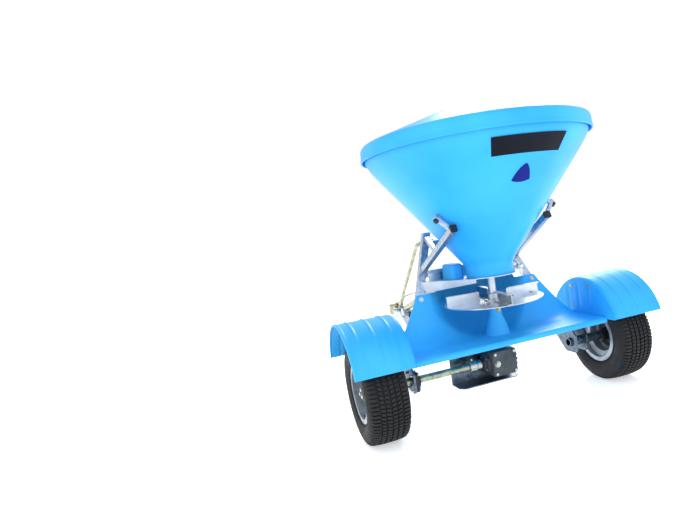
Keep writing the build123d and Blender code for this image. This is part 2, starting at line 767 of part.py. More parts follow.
guard_bolt_spots = [(guard_y + 56, 441), (guard_y - 61, 441)]
guard_bolts = [bolt((guard_left, *spot), (-1, 0, 0), 8, guard_wall + 10) for spot in guard_bolt_spots]
with BuildPart() as right_mudguard:
    add(guard_band(guard_radius, guard_radius - guard_wall, 0, guard_width))
    for share in (0.24, 0.52, 0.80):
        add(guard_band(guard_radius + 4, guard_radius - 1, guard_width * share - 6, 12))
    add(guard_band(guard_radius + 3, guard_radius - guard_wall - 3, guard_width - 8, 8))
    with BuildSketch(guard_plane):
        Circle(guard_radius)
        with Locations((0, apron_floor - 6 - guard_z - 2 * guard_radius)):
            Rectangle(4 * guard_radius, 4 * guard_radius, mode=Mode.SUBTRACT)
    extrude(amount=guard_wall)
    for flute_y in (-58, 14, 86):
        with BuildSketch(guard_plane):
            with Locations((flute_y, (apron_floor + guard_z + guard_radius) / 2 - guard_z - 14)):
                SlotOverall(guard_radius * 0.46, 22, rotation=90)
        extrude(amount=-3)
    for fixing in guard_bolts:
        add(fixing, mode=Mode.SUBTRACT)
keep(right_mudguard.part, "right_mudguard")
keep(mirrored(right_mudguard.part), "left_mudguard")

# A plate on each end of the beam rises inside the guard and takes its two bolts.
bracket_plane = Plane(origin=(guard_left + guard_wall, 0, 0), x_dir=(0, 1, 0), z_dir=(1, 0, 0))
with BuildPart() as right_guard_bracket:
    with BuildSketch(bracket_plane):
        with BuildLine():
            Polyline((beam_y - 25, beam_z - 25), (beam_y + 25, beam_z - 25), (beam_y + 25, beam_z + 40),
                     (90, 457), (-64, 457), (-64, 422), (beam_y - 25, beam_z + 60), close=True)
        make_face()
    extrude(amount=5)
    for fixing in guard_bolts:
        add(fixing, mode=Mode.SUBTRACT)
keep_pair(right_guard_bracket.part, "guard_brackets")

# ---- wheels ----

rim_radius = rim_flange_diameter / 2
bead_radius = bead_diameter / 2
well_radius = bead_radius - 22
disc_inset = 14
hub_face = disc_inset - 5


def wheel_plane(side, offset_x=0):
    return Plane(origin=(side * (wheel_x + offset_x), 0, axle_z), x_dir=(0, 1, 0), z_dir=(side, 0, 0))


def wheel_spots():
    return PolarLocations(wheel_bolt_circle / 2, wheel_bolt_count, start_angle=45)


half_tread = tyre_width / 2 - 16
with BuildPart() as right_tyre:
    with BuildSketch(Plane(origin=(wheel_x, 0, axle_z), x_dir=(1, 0, 0), z_dir=(0, 0, 1))):
        with BuildLine():
            crown = Polyline((-half_tread, axle_z - 3), (0, axle_z), (half_tread, axle_z - 3))
            right_wall = Spline(crown @ 1, (tyre_width / 2, axle_z - 45), (rim_width / 2 - 5, rim_radius + 1),
                                tangents=[(1, -0.35), (-0.45, -1)])
            right_bead = Polyline(right_wall @ 1, (rim_width / 2 - 5, bead_radius + 0.4),
                                  (rim_width / 2 - 19, bead_radius + 0.4), (rim_width / 2 - 17, rim_radius))
            inside = Spline(right_bead @ 1, (tyre_width / 2 - tyre_sidewall - 3, axle_z - 45),
                            (0, axle_z - tyre_tread),
                            (-tyre_width / 2 + tyre_sidewall + 3, axle_z - 45),
                            (-rim_width / 2 + 17, rim_radius))
            left_bead = Polyline(inside @ 1, (-rim_width / 2 + 19, bead_radius + 0.4),
                                 (-rim_width / 2 + 5, bead_radius + 0.4), (-rim_width / 2 + 5, rim_radius + 1))
            Spline(left_bead @ 1, (-tyre_width / 2, axle_z - 45), crown @ 0,
                   tangents=[(-0.45, 1), (1, 0.35)])
        make_face()
    revolve(axis=Axis((wheel_x, 0, axle_z), (1, 0, 0)))
keep(right_tyre.part, "right_tyre")
keep(mirrored(right_tyre.part), "left_tyre")

half_rim = rim_width / 2
right_barrel = spun_x(wheel_x, [
    (-half_rim, rim_radius), (-half_rim + 4, rim_radius), (-half_rim + 4, bead_radius),
    (-half_rim + 26, bead_radius), (-half_rim + 34, well_radius), (half_rim - 46, well_radius),
    (half_rim - 34, bead_radius), (half_rim - 4, bead_radius), (half_rim - 4, rim_radius),
    (half_rim, rim_radius), (half_rim, bead_radius - rim_sheet), (half_rim - 32, bead_radius - rim_sheet),
    (half_rim - 44, well_radius - rim_sheet), (-half_rim + 32, well_radius - rim_sheet),
    (-half_rim + 24, bead_radius - rim_sheet), (-half_rim, bead_radius - rim_sheet)])
hub_hole = hub_diameter / 2 + 0.5
right_web = spun_x(wheel_x, [
    (disc_inset, hub_hole), (disc_inset, 66), (disc_inset - 12, 74), (disc_inset - 12, well_radius - rim_sheet),
    (disc_inset - 17, well_radius - rim_sheet), (disc_inset - 17, 71), (disc_inset - 5, 63),
    (disc_inset - 5, hub_hole)])
with BuildPart() as right_rim:
    add(right_barrel)
    add(right_web)
    with BuildSketch(wheel_plane(1, disc_inset)):
        with wheel_spots():
            Circle(wheel_bolt_size / 2)
    extrude(amount=-6, mode=Mode.SUBTRACT)
    with BuildSketch(wheel_plane(1, half_rim - 38)):
        with Locations((0, bead_radius - 14)):
            Circle(4)
    extrude(amount=20, mode=Mode.SUBTRACT)
keep(right_rim.part, "right_rim")
keep(mirrored(right_rim.part), "left_rim")


def hub(bore, inner_length, cap_end):
    """A wheel hub for the right side: a barrel, a flange behind the wheel disc and four studs."""
    barrel_end = disc_inset + cap_end
    with BuildPart() as wheel_hub:
        add(spun_x(wheel_x, [
            (hub_face - 8, bore), (hub_face - 8 - inner_length, bore),
            (hub_face - 8 - inner_length, hub_diameter / 2 - 5), (hub_face - 8, hub_diameter / 2 - 2),
            (hub_face - 8, hub_flange_diameter / 2), (hub_face, hub_flange_diameter / 2),
            (hub_face, hub_diameter / 2), (barrel_end - 4, hub_diameter / 2),
            (barrel_end, hub_diameter / 2 - 4), (barrel_end, bore)]))
        with BuildSketch(wheel_plane(1, hub_face - 8)):
            with wheel_spots():
                Circle(wheel_bolt_size / 2)
        extrude(amount=34)
    return wheel_hub.part


with BuildPart() as right_nuts:
    with BuildSketch(wheel_plane(1, disc_inset)):
        with wheel_spots():
            RegularPolygon(wheel_bolt_size * 0.86, 6)
            Circle(wheel_bolt_size / 2, mode=Mode.SUBTRACT)
    extrude(amount=11)
keep(right_nuts.part, "right_wheel_nuts")
keep(mirrored(right_nuts.part), "left_wheel_nuts")

shaft_radius = shaft_diameter / 2
drive_hub = hub(shaft_radius, hub_length - 40, 34)
keep(mirrored(drive_hub), "drive_hub")

# The drive shaft runs from the left hub through its bearing to the collar on the gearbox input.
collar_left = -154
collar_right = box_left - 26
shaft_left = -(wheel_x + disc_inset + 40)
drive_shaft = rod((shaft_left, 0, axle_z), (collar_left + 40, 0, axle_z), shaft_radius)
keep(drive_shaft, "drive_shaft")
input_radius = 11
with BuildPart() as shaft_collar:
    add(spun(((collar_left, shaft_radius), (collar_left, 25), (collar_left + 30, 25),
              (collar_left + 34, 21), (collar_right - 6, 21), (collar_right, 18),
              (collar_right, input_radius), (collar_left + 40, input_radius),
              (collar_left + 40, shaft_radius)), (0, 0, axle_z), (1, 0, 0), (1, 0, 0), (0, 0, 1)))
    with BuildSketch(Plane.XY.offset(axle_z + 22)):
        with Locations((collar_left + 16, 0)):
            Circle(5)
    extrude(amount=10)
keep(shaft_collar.part, "shaft_collar")
with BuildPart() as shaft_end_cap:
    with BuildSketch(Plane(origin=(shaft_left, 0, axle_z), z_dir=(-1, 0, 0))):
        Circle(21)
        RegularPolygon(9, 6, mode=Mode.SUBTRACT)
    extrude(amount=6)
    with BuildSketch(Plane(origin=(shaft_left, 0, axle_z), z_dir=(-1, 0, 0))):
        RegularPolygon(9, 6)
    extrude(amount=12)
keep(shaft_end_cap.part, "shaft_end_bolt")

# The free wheel turns on a stub axle, on a plain bush, and is held by a nut under a cap.
stub_radius = stub_diameter / 2
spindle_radius = 14
stub_inner = 340
stub_shoulder = wheel_x + hub_face - 8 - (hub_length - 40) - 2
spindle_end = wheel_x + disc_inset + 30
with BuildPart() as stub_axle:
    add(spun(((stub_inner, stub_radius - 5), (stub_inner, stub_radius), (stub_shoulder, stub_radius),
              (stub_shoulder, spindle_radius), (spindle_end, spindle_radius), (spindle_end, 0),
              (stub_shoulder - 20, 0), (stub_shoulder - 20, stub_radius - 5)),
             (0, 0, axle_z), (1, 0, 0), (1, 0, 0), (0, 0, 1)))
keep(stub_axle.part, "stub_axle")
bush_radius = spindle_radius + 5
keep(hub(bush_radius, hub_length - 40, 46), "idler_hub")
bush_left = stub_shoulder + 2
bush_right = wheel_x + disc_inset + 16
keep(spun(((bush_left, spindle_radius + running_gap), (bush_left, bush_radius), (bush_right, bush_radius),
           (bush_right, spindle_radius + running_gap)), (0, 0, axle_z), (1, 0, 0), (1, 0, 0), (0, 0, 1)),
     "hub_bush")
with BuildPart() as axle_nut:
    with BuildSketch(Plane(origin=(bush_right + 1, 0, axle_z), z_dir=(1, 0, 0))):
        RegularPolygon(18, 6)
        Circle(spindle_radius, mode=Mode.SUBTRACT)
    extrude(amount=9)
keep(axle_nut.part, "axle_nut")
cap_face = wheel_x + disc_inset + 46
keep(spun(((cap_face, 0), (cap_face, hub_diameter / 2 - 5), (cap_face + 6, hub_diameter / 2 - 6),
           (cap_face + 13, 12), (cap_face + 13, 0)), (0, 0, axle_z), (1, 0, 0), (1, 0, 0), (0, 0, 1)),
     "hub_cap")

# ---- axle hangers and the shaft bearing ----

hanger_sheet = 8
hanger_x = 404
bearing_half = 46
beam_rear = beam_y - beam_side / 2
beam_bottom = beam_z - beam_side / 2


def hanger(x, bore):
    """An upright plate that hangs the axle behind the beam."""
    with BuildPart() as plate:
        with BuildSketch(Plane(origin=(x, 0, axle_z), x_dir=(0, 1, 0), z_dir=(1, 0, 0))):
            with BuildLine():
                Polyline((-44, -34), (-44, 34), (-20, 60), (beam_rear, beam_bottom + 30 - axle_z),
                         (beam_rear, beam_bottom - axle_z), (beam_y + 25, beam_bottom - axle_z),
                         (beam_y + 25, beam_bottom - axle_z - 12), (44, -34), (30, -44), (-30, -44), close=True)
            make_face()
            Circle(bore, mode=Mode.SUBTRACT)
        extrude(amount=hanger_sheet)
    return plate.part


bearing_left = -hanger_x
bearing_spots = [(-36, -30), (36, -30), (-36, 30), (36, 30)]
bearing_bolts = [bolt((bearing_left + 12, y * 0.92, axle_z + z), (1, 0, 0), 10, 12 + hanger_sheet + 8)
                 for y, z in bearing_spots]
with BuildPart() as shaft_bearing:
    with BuildSketch(Plane(origin=(bearing_left, 0, axle_z), x_dir=(0, 1, 0), z_dir=(1, 0, 0))):
        RectangleRounded(2 * bearing_half - 6, 80, 12)
    extrude(amount=12)
    with BuildSketch(Plane(origin=(bearing_left, 0, axle_z), x_dir=(0, 1, 0), z_dir=(1, 0, 0))):
        Circle(32)
    extrude(amount=26)
    fillet(shaft_bearing.faces().sort_by(Axis.X)[-1].edges(), 4)
    with BuildSketch(Plane(origin=(bearing_left, 0, axle_z), x_dir=(0, 1, 0), z_dir=(1, 0, 0))):
        Circle(23)
    extrude(amount=26, mode=Mode.SUBTRACT)
    for fixing in bearing_bolts:
        add(fixing, mode=Mode.SUBTRACT)
with BuildPart() as bearing_ring:
    with BuildSketch(Plane(origin=(bearing_left + 3, 0, axle_z), x_dir=(0, 1, 0), z_dir=(1, 0, 0))):
        Circle(23)
        Circle(shaft_radius + running_gap, mode=Mode.SUBTRACT)
    extrude(amount=22)
keep(shaft_bearing.part, "shaft_bearing")
keep(bearing_ring.part, "bearing_ring")
with BuildPart() as left_hanger:
    add(hanger(-hanger_x - hanger_sheet, shaft_radius + 4))
    for fixing in bearing_bolts:
        add(fixing, mode=Mode.SUBTRACT)
keep(group([left_hanger.part, hanger(hanger_x, stub_radius), hanger(stub_inner + 9, stub_radius)]),
     "axle_hangers")

# The apron's side strips are bolted through the uprights' rear faces.
strip_bolt = at_height(upright_foot, upright_top, strip_top - 18)
apron_bolt_seat = (strip_bolt[0], wall_y(strip_bolt[2]) - 1, strip_bolt[2])
apron_bolts = [bolt((side * apron_bolt_seat[0], *apron_bolt_seat[1:]), (0, -cos(wall_angle), sin(wall_angle)),
                    8, 0) for side in (-1, 1)]
keep(group(coupling_bolts + guard_bolts + [mirrored(fixing) for fixing in guard_bolts] + bearing_bolts
           + apron_bolts), "frame_bolts")

# ---- gearbox ----

cone_length = gear_module * hypot(gear_teeth, pinion_teeth) / 2
gear_angle = atan2(gear_teeth, pinion_teeth)
face_share = 0.70


def bevel(angle, teeth, bore, back):
    """A bevel gear about local X, apex at the origin; teeth are cut inside its pitch cone."""
    outer_r, outer_x = cone_length * sin(angle), cone_length * cos(angle)
    inner_r, inner_x = outer_r * face_share, outer_x * face_share
    gap_r, gap_x = mesh_gap * cos(angle), mesh_gap * sin(angle)
    points = [(inner_x + gap_x, bore), (inner_x + gap_x, inner_r - gap_r), (outer_x + gap_x, outer_r - gap_r),
              (outer_x + back * 0.5, outer_r - back * sin(angle) * 0.5), (outer_x + back, bore + 2),
              (outer_x + back, bore)]
    return points, outer_r


with BuildPart() as input_gear:
    gear_points, gear_radius = bevel(gear_angle, gear_teeth, input_radius, 12)
    add(spun([(-x, r) for x, r in gear_points], (0, 0, axle_z), (1, 0, 0), (1, 0, 0), (0, 0, 1)))
    with BuildSketch(Plane(origin=(0, 0, axle_z), x_dir=(0, 1, 0), z_dir=(1, 0, 0))):
        with PolarLocations(gear_radius, gear_teeth):
            Rectangle(4.5, gear_module * 1.2)
    extrude(amount=-cone_length, mode=Mode.SUBTRACT)
keep(input_gear.part, "input_gear")
input_shaft = rod((collar_left + 40, 0, axle_z), (-8, 0, axle_z), input_radius)
keep(input_shaft, "input_shaft")

output_radius = output_diameter / 2
with BuildPart() as output_pinion:
    pinion_points, pinion_radius = bevel(radians(90) - gear_angle, pinion_teeth, 0, 14)
    add(spun_z([(axle_z + z, r) for z, r in pinion_points]))
    with BuildSketch(Plane.XY.offset(axle_z)):
        with PolarLocations(pinion_radius, pinion_teeth):
            Rectangle(4, gear_module * 1.2)
    extrude(amount=cone_length, mode=Mode.SUBTRACT)
pinion_top = axle_z + cone_length * cos(radians(90) - gear_angle) + 14
disc_top = disc_height + disc_sheet
hub_top = disc_top + 30
with BuildPart() as output_shaft:
    add(output_pinion.part)
    add(rod((0, 0, pinion_top - 8), (0, 0, hub_top), output_radius))
keep(output_shaft.part, "output_shaft")

box_x = (box_left + box_right) / 2
box_y = (box_rear + box_front) / 2
boss_top = axle_z + box_half_height + 22
cover_bolt_spots = [(x, z) for x in (box_left + 13, box_right - 13)
                    for z in (axle_z - box_half_height + 12, axle_z + box_half_height - 12)]
cover_bolts = [bolt((x, box_rear - cover_sheet, z), (0, -1, 0), 8, cover_sheet + 8)
               for x, z in cover_bolt_spots]
with BuildPart() as gearbox_housing:
    with Locations((box_x, box_y, axle_z)):
        Box(box_right - box_left, box_front - box_rear, 2 * box_half_height)
    fillet(gearbox_housing.edges().filter_by(Axis.Y), 10)
    with BuildSketch(Plane(origin=(box_left, 0, axle_z), z_dir=(-1, 0, 0))):
        Circle(40)
    extrude(amount=12)
    with BuildSketch(Plane(origin=(box_left - 12, 0, axle_z), z_dir=(-1, 0, 0))):
        Circle(24)
    extrude(amount=8)
    with BuildSketch(Plane(origin=(box_right, 0, axle_z), z_dir=(1, 0, 0))):
        Circle(38)
        with PolarLocations(38, 6):
            RectangleRounded(16, 16, 4)
    extrude(amount=9)
    with BuildSketch(Plane.XY.offset(axle_z + box_half_height)):
        Circle(30)
    extrude(amount=22)
    with Locations((box_x, box_y - box_wall, axle_z)):
        Box(box_right - box_left - 2 * box_wall, box_front - box_rear,
            2 * box_half_height - 2 * box_wall, mode=Mode.SUBTRACT)
    with BuildSketch(Plane(origin=(box_left - 20, 0, axle_z), z_dir=(1, 0, 0))):
        Circle(input_radius + running_gap)
    extrude(amount=40, mode=Mode.SUBTRACT)
    with BuildSketch(Plane.XY.offset(axle_z + box_half_height - box_wall)):
        Circle(output_radius + running_gap)
    extrude(amount=60, mode=Mode.SUBTRACT)
    for fixing in cover_bolts:
        add(fixing, mode=Mode.SUBTRACT)
keep(gearbox_housing.part, "gearbox_housing")

with BuildPart() as gearbox_cover:
    with BuildSketch(Plane(origin=(box_x, box_rear, axle_z), x_dir=(1, 0, 0), z_dir=(0, -1, 0))):
        RectangleRounded(box_right - box_left - 4, 2 * box_half_height - 4, 9)
    extrude(amount=cover_sheet)
    chamfer(gearbox_cover.faces().sort_by(Axis.Y)[0].edges(), 1.2)
    for fixing in cover_bolts:
        add(fixing, mode=Mode.SUBTRACT)
keep(gearbox_cover.part, "gearbox_cover")
side_bolts = [bolt((box_right + 9, 38 * cos(radians(a)), axle_z + 38 * sin(radians(a))), (1, 0, 0), 6, 0)
              for a in range(0, 360, 60)]
side_bolts += [bolt((box_left - 12, 32 * cos(radians(a)), axle_z + 32 * sin(radians(a))), (-1, 0, 0), 6, 0)
               for a in range(45, 360, 90)]
keep(group(cover_bolts + side_bolts), "gearbox_bolts")

# ---- skid plate ----

skid_left, skid_right = -212, 68
skid_bottom = 123
skid_sheet = 4
with BuildPart() as skid_plate:
    with BuildSketch(Plane.XY.offset(skid_bottom)):
        Polygon((skid_left, beam_rear), (skid_left, -8), (skid_left + 22, -30), (skid_right - 22, -30),
                (skid_right, -8), (skid_right, beam_rear), align=None)
    extrude(amount=skid_sheet)
    with BuildSketch(Plane(origin=(0, beam_rear, 0), x_dir=(1, 0, 0), z_dir=(0, -1, 0))):
        Polygon((skid_left, skid_bottom), (skid_right, skid_bottom), (skid_right, beam_z - 10),
                (skid_right - 14, beam_z + 8), (skid_left + 70, beam_z + 8), (skid_left, beam_z - 40),
                align=None)
    extrude(amount=skid_sheet)
keep(skid_plate.part, "skid_plate")

# ---- spinner ----

with BuildPart() as spinner_disc:
    with BuildSketch(Plane.XY.offset(disc_height)):
        Circle(disc_radius)
        Circle(output_radius, mode=Mode.SUBTRACT)
    extrude(amount=disc_sheet)
keep(spinner_disc.part, "spinner_disc")

hub_points = [(disc_top, output_radius), (disc_top, 38), (disc_top + 5, 38), (disc_top + 7, 25),
              (hub_top - 2, 25), (hub_top, 23), (hub_top, output_radius)]
disc_hub = spun_z(hub_points)

vane_sheet = 3
vane_inner = disc_radius - vane_length - 4
vane_plane = Plane(origin=(vane_inner, 0, disc_top), x_dir=(0, 1, 0), z_dir=(1, 0, 0))
with BuildPart() as vane:
    with BuildSketch(vane_plane):
        with BuildLine():
            Polyline((0, 0), (-vane_flange, 0), (-vane_flange, vane_sheet), (-vane_sheet, vane_sheet),
                     (-vane_sheet, vane_height - vane_sheet), (-vane_flange, vane_height - vane_sheet),
                     (-vane_flange, vane_height), (0, vane_height), close=True)
        make_face()
    extrude(amount=vane_length)
    with BuildSketch(Plane.XY.offset(disc_top)):
        with Locations((vane_inner + 26, -vane_flange + 7), (disc_radius - 34, -vane_flange + 7)):
            Circle(3)
    extrude(amount=vane_sheet, mode=Mode.SUBTRACT)
vane_bolt_heads = []
vanes = []
for index in range(vane_count):
    turn = Rotation(0, 0, vane_turn + 360 / vane_count * index)
    vanes.append(turn * vane.part)
    for x in (vane_inner + 26, disc_radius - 34):
        vane_bolt_heads.append(turn * bolt((x, -vane_flange + 7, disc_top + vane_sheet), (0, 0, 1), 6, 0,
                                           head=9))
keep(group(vanes), "vanes")
keep(group(vane_bolt_heads), "vane_bolts")

sleeve_top = neck_bottom + 40
sleeve_radius = sleeve_diameter / 2
with BuildPart() as spinner_hub:
    add(disc_hub)
    add(rod((0, 0, hub_top), (0, 0, sleeve_top), sleeve_radius))
keep(spinner_hub.part, "spinner_hub")
with BuildPart() as agitator:
    with BuildSketch(Plane.XY.offset(sleeve_top)):
        Circle(11)
    extrude(amount=64)
    with BuildSketch(Plane(origin=(0, 0, sleeve_top + 24), x_dir=(0, 1, 0), z_dir=(1, 0, 0))):
        Circle(6)
    extrude(amount=agitator_reach, both=True)
keep(agitator.part, "agitator")
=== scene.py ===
import json
import math

import bmesh
import bpy
from mathutils import Matrix, Vector


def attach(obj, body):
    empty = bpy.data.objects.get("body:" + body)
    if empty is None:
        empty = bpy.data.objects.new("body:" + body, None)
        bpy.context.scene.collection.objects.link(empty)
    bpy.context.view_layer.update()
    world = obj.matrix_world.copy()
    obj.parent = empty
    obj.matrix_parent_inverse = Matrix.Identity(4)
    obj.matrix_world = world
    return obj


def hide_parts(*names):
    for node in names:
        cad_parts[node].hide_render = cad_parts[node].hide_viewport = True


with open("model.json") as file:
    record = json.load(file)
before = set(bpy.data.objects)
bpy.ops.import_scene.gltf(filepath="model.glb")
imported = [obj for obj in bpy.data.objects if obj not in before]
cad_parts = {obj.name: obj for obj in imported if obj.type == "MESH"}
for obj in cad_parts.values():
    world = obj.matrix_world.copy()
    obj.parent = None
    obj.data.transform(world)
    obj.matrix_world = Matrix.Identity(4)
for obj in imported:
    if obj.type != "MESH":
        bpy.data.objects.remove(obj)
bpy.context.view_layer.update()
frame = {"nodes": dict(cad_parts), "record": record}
nodes = frame["nodes"]
scene = bpy.context.scene
print("frame loaded:", len(nodes), "nodes")

axleY = -0.518  # the axle and the spinner's upright axis both cross this Y
axleZ = 0.203
wheelX = 0.557


# ---- materials: one helper for colour, one for nodes, then one function per finish ----

def hexColour(code):
    parts = [int(code[i:i + 2], 16) / 255 for i in (1, 3, 5)]
    linear = [c / 12.92 if c <= 0.04045 else ((c + 0.055) / 1.055) ** 2.4 for c in parts]
    return (*linear, 1.0)


def addNode(tree, kind, values=None, links=None, **settings):
    node = tree.nodes.new(kind)
    for key, value in settings.items():
        setattr(node, key, value)
    for key, value in (values or {}).items():
        node.inputs[key].default_value = value
    for key, source in (links or {}).items():
        tree.links.new(source, node.inputs[key])
    return node


def startMaterial(name):
    material = bpy.data.materials.new(name)
    material.use_nodes = True
    tree = material.node_tree
    tree.nodes.clear()
    shader = addNode(tree, "ShaderNodeBsdfPrincipled")
    addNode(tree, "ShaderNodeOutputMaterial", links={"Surface": shader.outputs["BSDF"]})
    place = addNode(tree, "ShaderNodeTexCoord").outputs["Object"]
    return material, tree, shader, place


def noiseAt(tree, place, sizeMm, detail=2.0, roughness=0.5, stretch=None):
    if stretch:
        place = addNode(tree, "ShaderNodeMapping", {"Scale": stretch}, {"Vector": place}).outputs["Vector"]
    return addNode(tree, "ShaderNodeTexNoise", {"Scale": 1000 / sizeMm, "Detail": detail,
                   "Roughness": roughness}, {"Vector": place}).outputs["Fac"]


def rampTo(tree, source, low, high, fromLow=0.3, fromHigh=0.7):
    return addNode(tree, "ShaderNodeMapRange", {"From Min": fromLow, "From Max": fromHigh,
                   "To Min": low, "To Max": high}, {"Value": source}).outputs["Result"]


def mixColours(tree, factor, first, second):
    mix = addNode(tree, "ShaderNodeMix", data_type="RGBA")
    mix.inputs[6].default_value = hexColour(first) if isinstance(first, str) else (0, 0, 0, 1)
    mix.inputs[7].default_value = hexColour(second) if isinstance(second, str) else (0, 0, 0, 1)
    if not isinstance(first, str):
        tree.links.new(first, mix.inputs[6])
    if not isinstance(second, str):
        tree.links.new(second, mix.inputs[7])
    tree.links.new(factor, mix.inputs[0])
    return mix.outputs[2]


def bumpFrom(tree, shader, height, distanceMm, strength=1.0, under=None):
    links = {"Height": height}
    if under:
        links["Normal"] = under
    bump = addNode(tree, "ShaderNodeBump", {"Strength": strength, "Distance": distanceMm / 1000}, links)
    tree.links.new(bump.outputs["Normal"], shader.inputs["Normal"])
    return bump.outputs["Normal"]


def polyethyleneMaterial(name, deep, pale):
    # Rotationally moulded polyethylene: satin, faintly waxy, with an orange-peel skin of 2 to 3 mm
    material, tree, shader, place = startMaterial(name)
    cloud = noiseAt(tree, place, 240, 2)
    peel = noiseAt(tree, place, 2.6, 3)
    speck = noiseAt(tree, place, 0.9, 1)
    tone = addNode(tree, "ShaderNodeMath", {1: 0.35}, {0: speck}, operation="MULTIPLY").outputs[0]
    tone = addNode(tree, "ShaderNodeMath", {}, {0: tone, 1: cloud}, operation="ADD").outputs[0]
    colour = mixColours(tree, rampTo(tree, tone, 0, 1, 0.45, 0.9), deep, pale)
    tree.links.new(colour, shader.inputs["Base Color"])
    tree.links.new(rampTo(tree, peel, 0.34, 0.50), shader.inputs["Roughness"])
    shader.inputs["Specular IOR Level"].default_value = 0.26
    bumpFrom(tree, shader, peel, 0.22, 0.5)
    return material


def galvanisedMaterial(name, dark, light, spangleMm=9.0, rough=(0.26, 0.46)):
    # Hot-dip galvanised steel: zinc crystals a few millimetres across, each a slightly different grey
    material, tree, shader, place = startMaterial(name)
    warp = noiseAt(tree, place, 14, 2)
    cells = addNode(tree, "ShaderNodeTexVoronoi", {"Scale": 1000 / spangleMm, "Randomness": 1.0},
                    {"Vector": place})
    grey = addNode(tree, "ShaderNodeSeparateColor", {}, {"Color": cells.outputs["Color"]}).outputs[0]
    grey = addNode(tree, "ShaderNodeMath", {1: 0.5}, {0: grey}, operation="MULTIPLY").outputs[0]
    grey = addNode(tree, "ShaderNodeMath", {}, {0: grey, 1: warp}, operation="ADD").outputs[0]
    tree.links.new(mixColours(tree, rampTo(tree, grey, 0, 1, 0.3, 1.1), dark, light),
                   shader.inputs["Base Color"])
    tree.links.new(rampTo(tree, grey, rough[0], rough[1], 0.3, 1.1), shader.inputs["Roughness"])
    shader.inputs["Metallic"].default_value = 1.0
    bumpFrom(tree, shader, noiseAt(tree, place, 5, 3), 0.12, 0.5)
    return material


def rolledSheetMaterial(name, dark, light, grain=(1, 14, 14), rough=(0.20, 0.36)):
    # Stainless sheet: long fine rolling scratches, each about a third of a millimetre wide
    material, tree, shader, place = startMaterial(name)
    scratch = noiseAt(tree, place, 9, 4, 0.7, grain)
    cloud = noiseAt(tree, place, 70, 2)
    tree.links.new(mixColours(tree, rampTo(tree, cloud, 0, 1), dark, light), shader.inputs["Base Color"])
    tree.links.new(rampTo(tree, scratch, rough[0], rough[1]), shader.inputs["Roughness"])
    shader.inputs["Metallic"].default_value = 1.0
    bumpFrom(tree, shader, scratch, 0.05, 0.5)
    return material


def castIronMaterial(name, dark, light, rough=(0.5, 0.72), grainMm=2.2):
    # Painted sand casting: pitted skin of about 2 mm under a thin coat
    material, tree, shader, place = startMaterial(name)
    grit = noiseAt(tree, place, grainMm, 3)
    cloud = noiseAt(tree, place, 40, 3)
    tree.links.new(mixColours(tree, rampTo(tree, cloud, 0, 1), dark, light), shader.inputs["Base Color"])
    tree.links.new(rampTo(tree, grit, rough[0], rough[1]), shader.inputs["Roughness"])
    bumpFrom(tree, shader, grit, 0.5, 0.6)
    return material


def enamelMaterial(name, dark, light, metallic=0.55, rough=(0.28, 0.42)):
    # Silver wheel enamel: fine metal flake, a little patchy dust
    material, tree, shader, place = startMaterial(name)
    cloud = noiseAt(tree, place, 30, 3)
    flake = noiseAt(tree, place, 0.8, 1)
    tree.links.new(mixColours(tree, rampTo(tree, cloud, 0, 1), dark, light), shader.inputs["Base Color"])
    tree.links.new(rampTo(tree, flake, rough[0], rough[1]), shader.inputs["Roughness"])
    shader.inputs["Metallic"].default_value = metallic
    bumpFrom(tree, shader, noiseAt(tree, place, 4, 2), 0.08, 0.3)
    return material


def rubberMaterial(name, dark, light, rough=(0.58, 0.82)):
    # Vulcanised tyre rubber: nearly black, dull, with grey scuffs where it has touched the ground
    material, tree, shader, place = startMaterial(name)
    scuff = noiseAt(tree, place, 22, 4, 0.65)
    fine = noiseAt(tree, place, 1.6, 2)
    tree.links.new(mixColours(tree, rampTo(tree, scuff, 0, 1, 0.45, 0.75), dark, light),
                   shader.inputs["Base Color"])
    tree.links.new(rampTo(tree, scuff, rough[0], rough[1]), shader.inputs["Roughness"])
    bumpFrom(tree, shader, fine, 0.18, 0.5)
    return material


def plainMaterial(name, dark, light, rough=(0.4, 0.55), metallic=0.0, grainMm=3.0, bumpMm=0.05,
                  gloss=0.5):
    # Small plastic and plated pieces: an even colour broken by a fine grain
    material, tree, shader, place = startMaterial(name)
    grain = noiseAt(tree, place, grainMm, 2)
    tree.links.new(mixColours(tree, rampTo(tree, grain, 0, 1), dark, light), shader.inputs["Base Color"])
    tree.links.new(rampTo(tree, grain, rough[0], rough[1]), shader.inputs["Roughness"])
    shader.inputs["Metallic"].default_value = metallic
    shader.inputs["Specular IOR Level"].default_value = gloss
    bumpFrom(tree, shader, grain, bumpMm, 0.5)
    return material


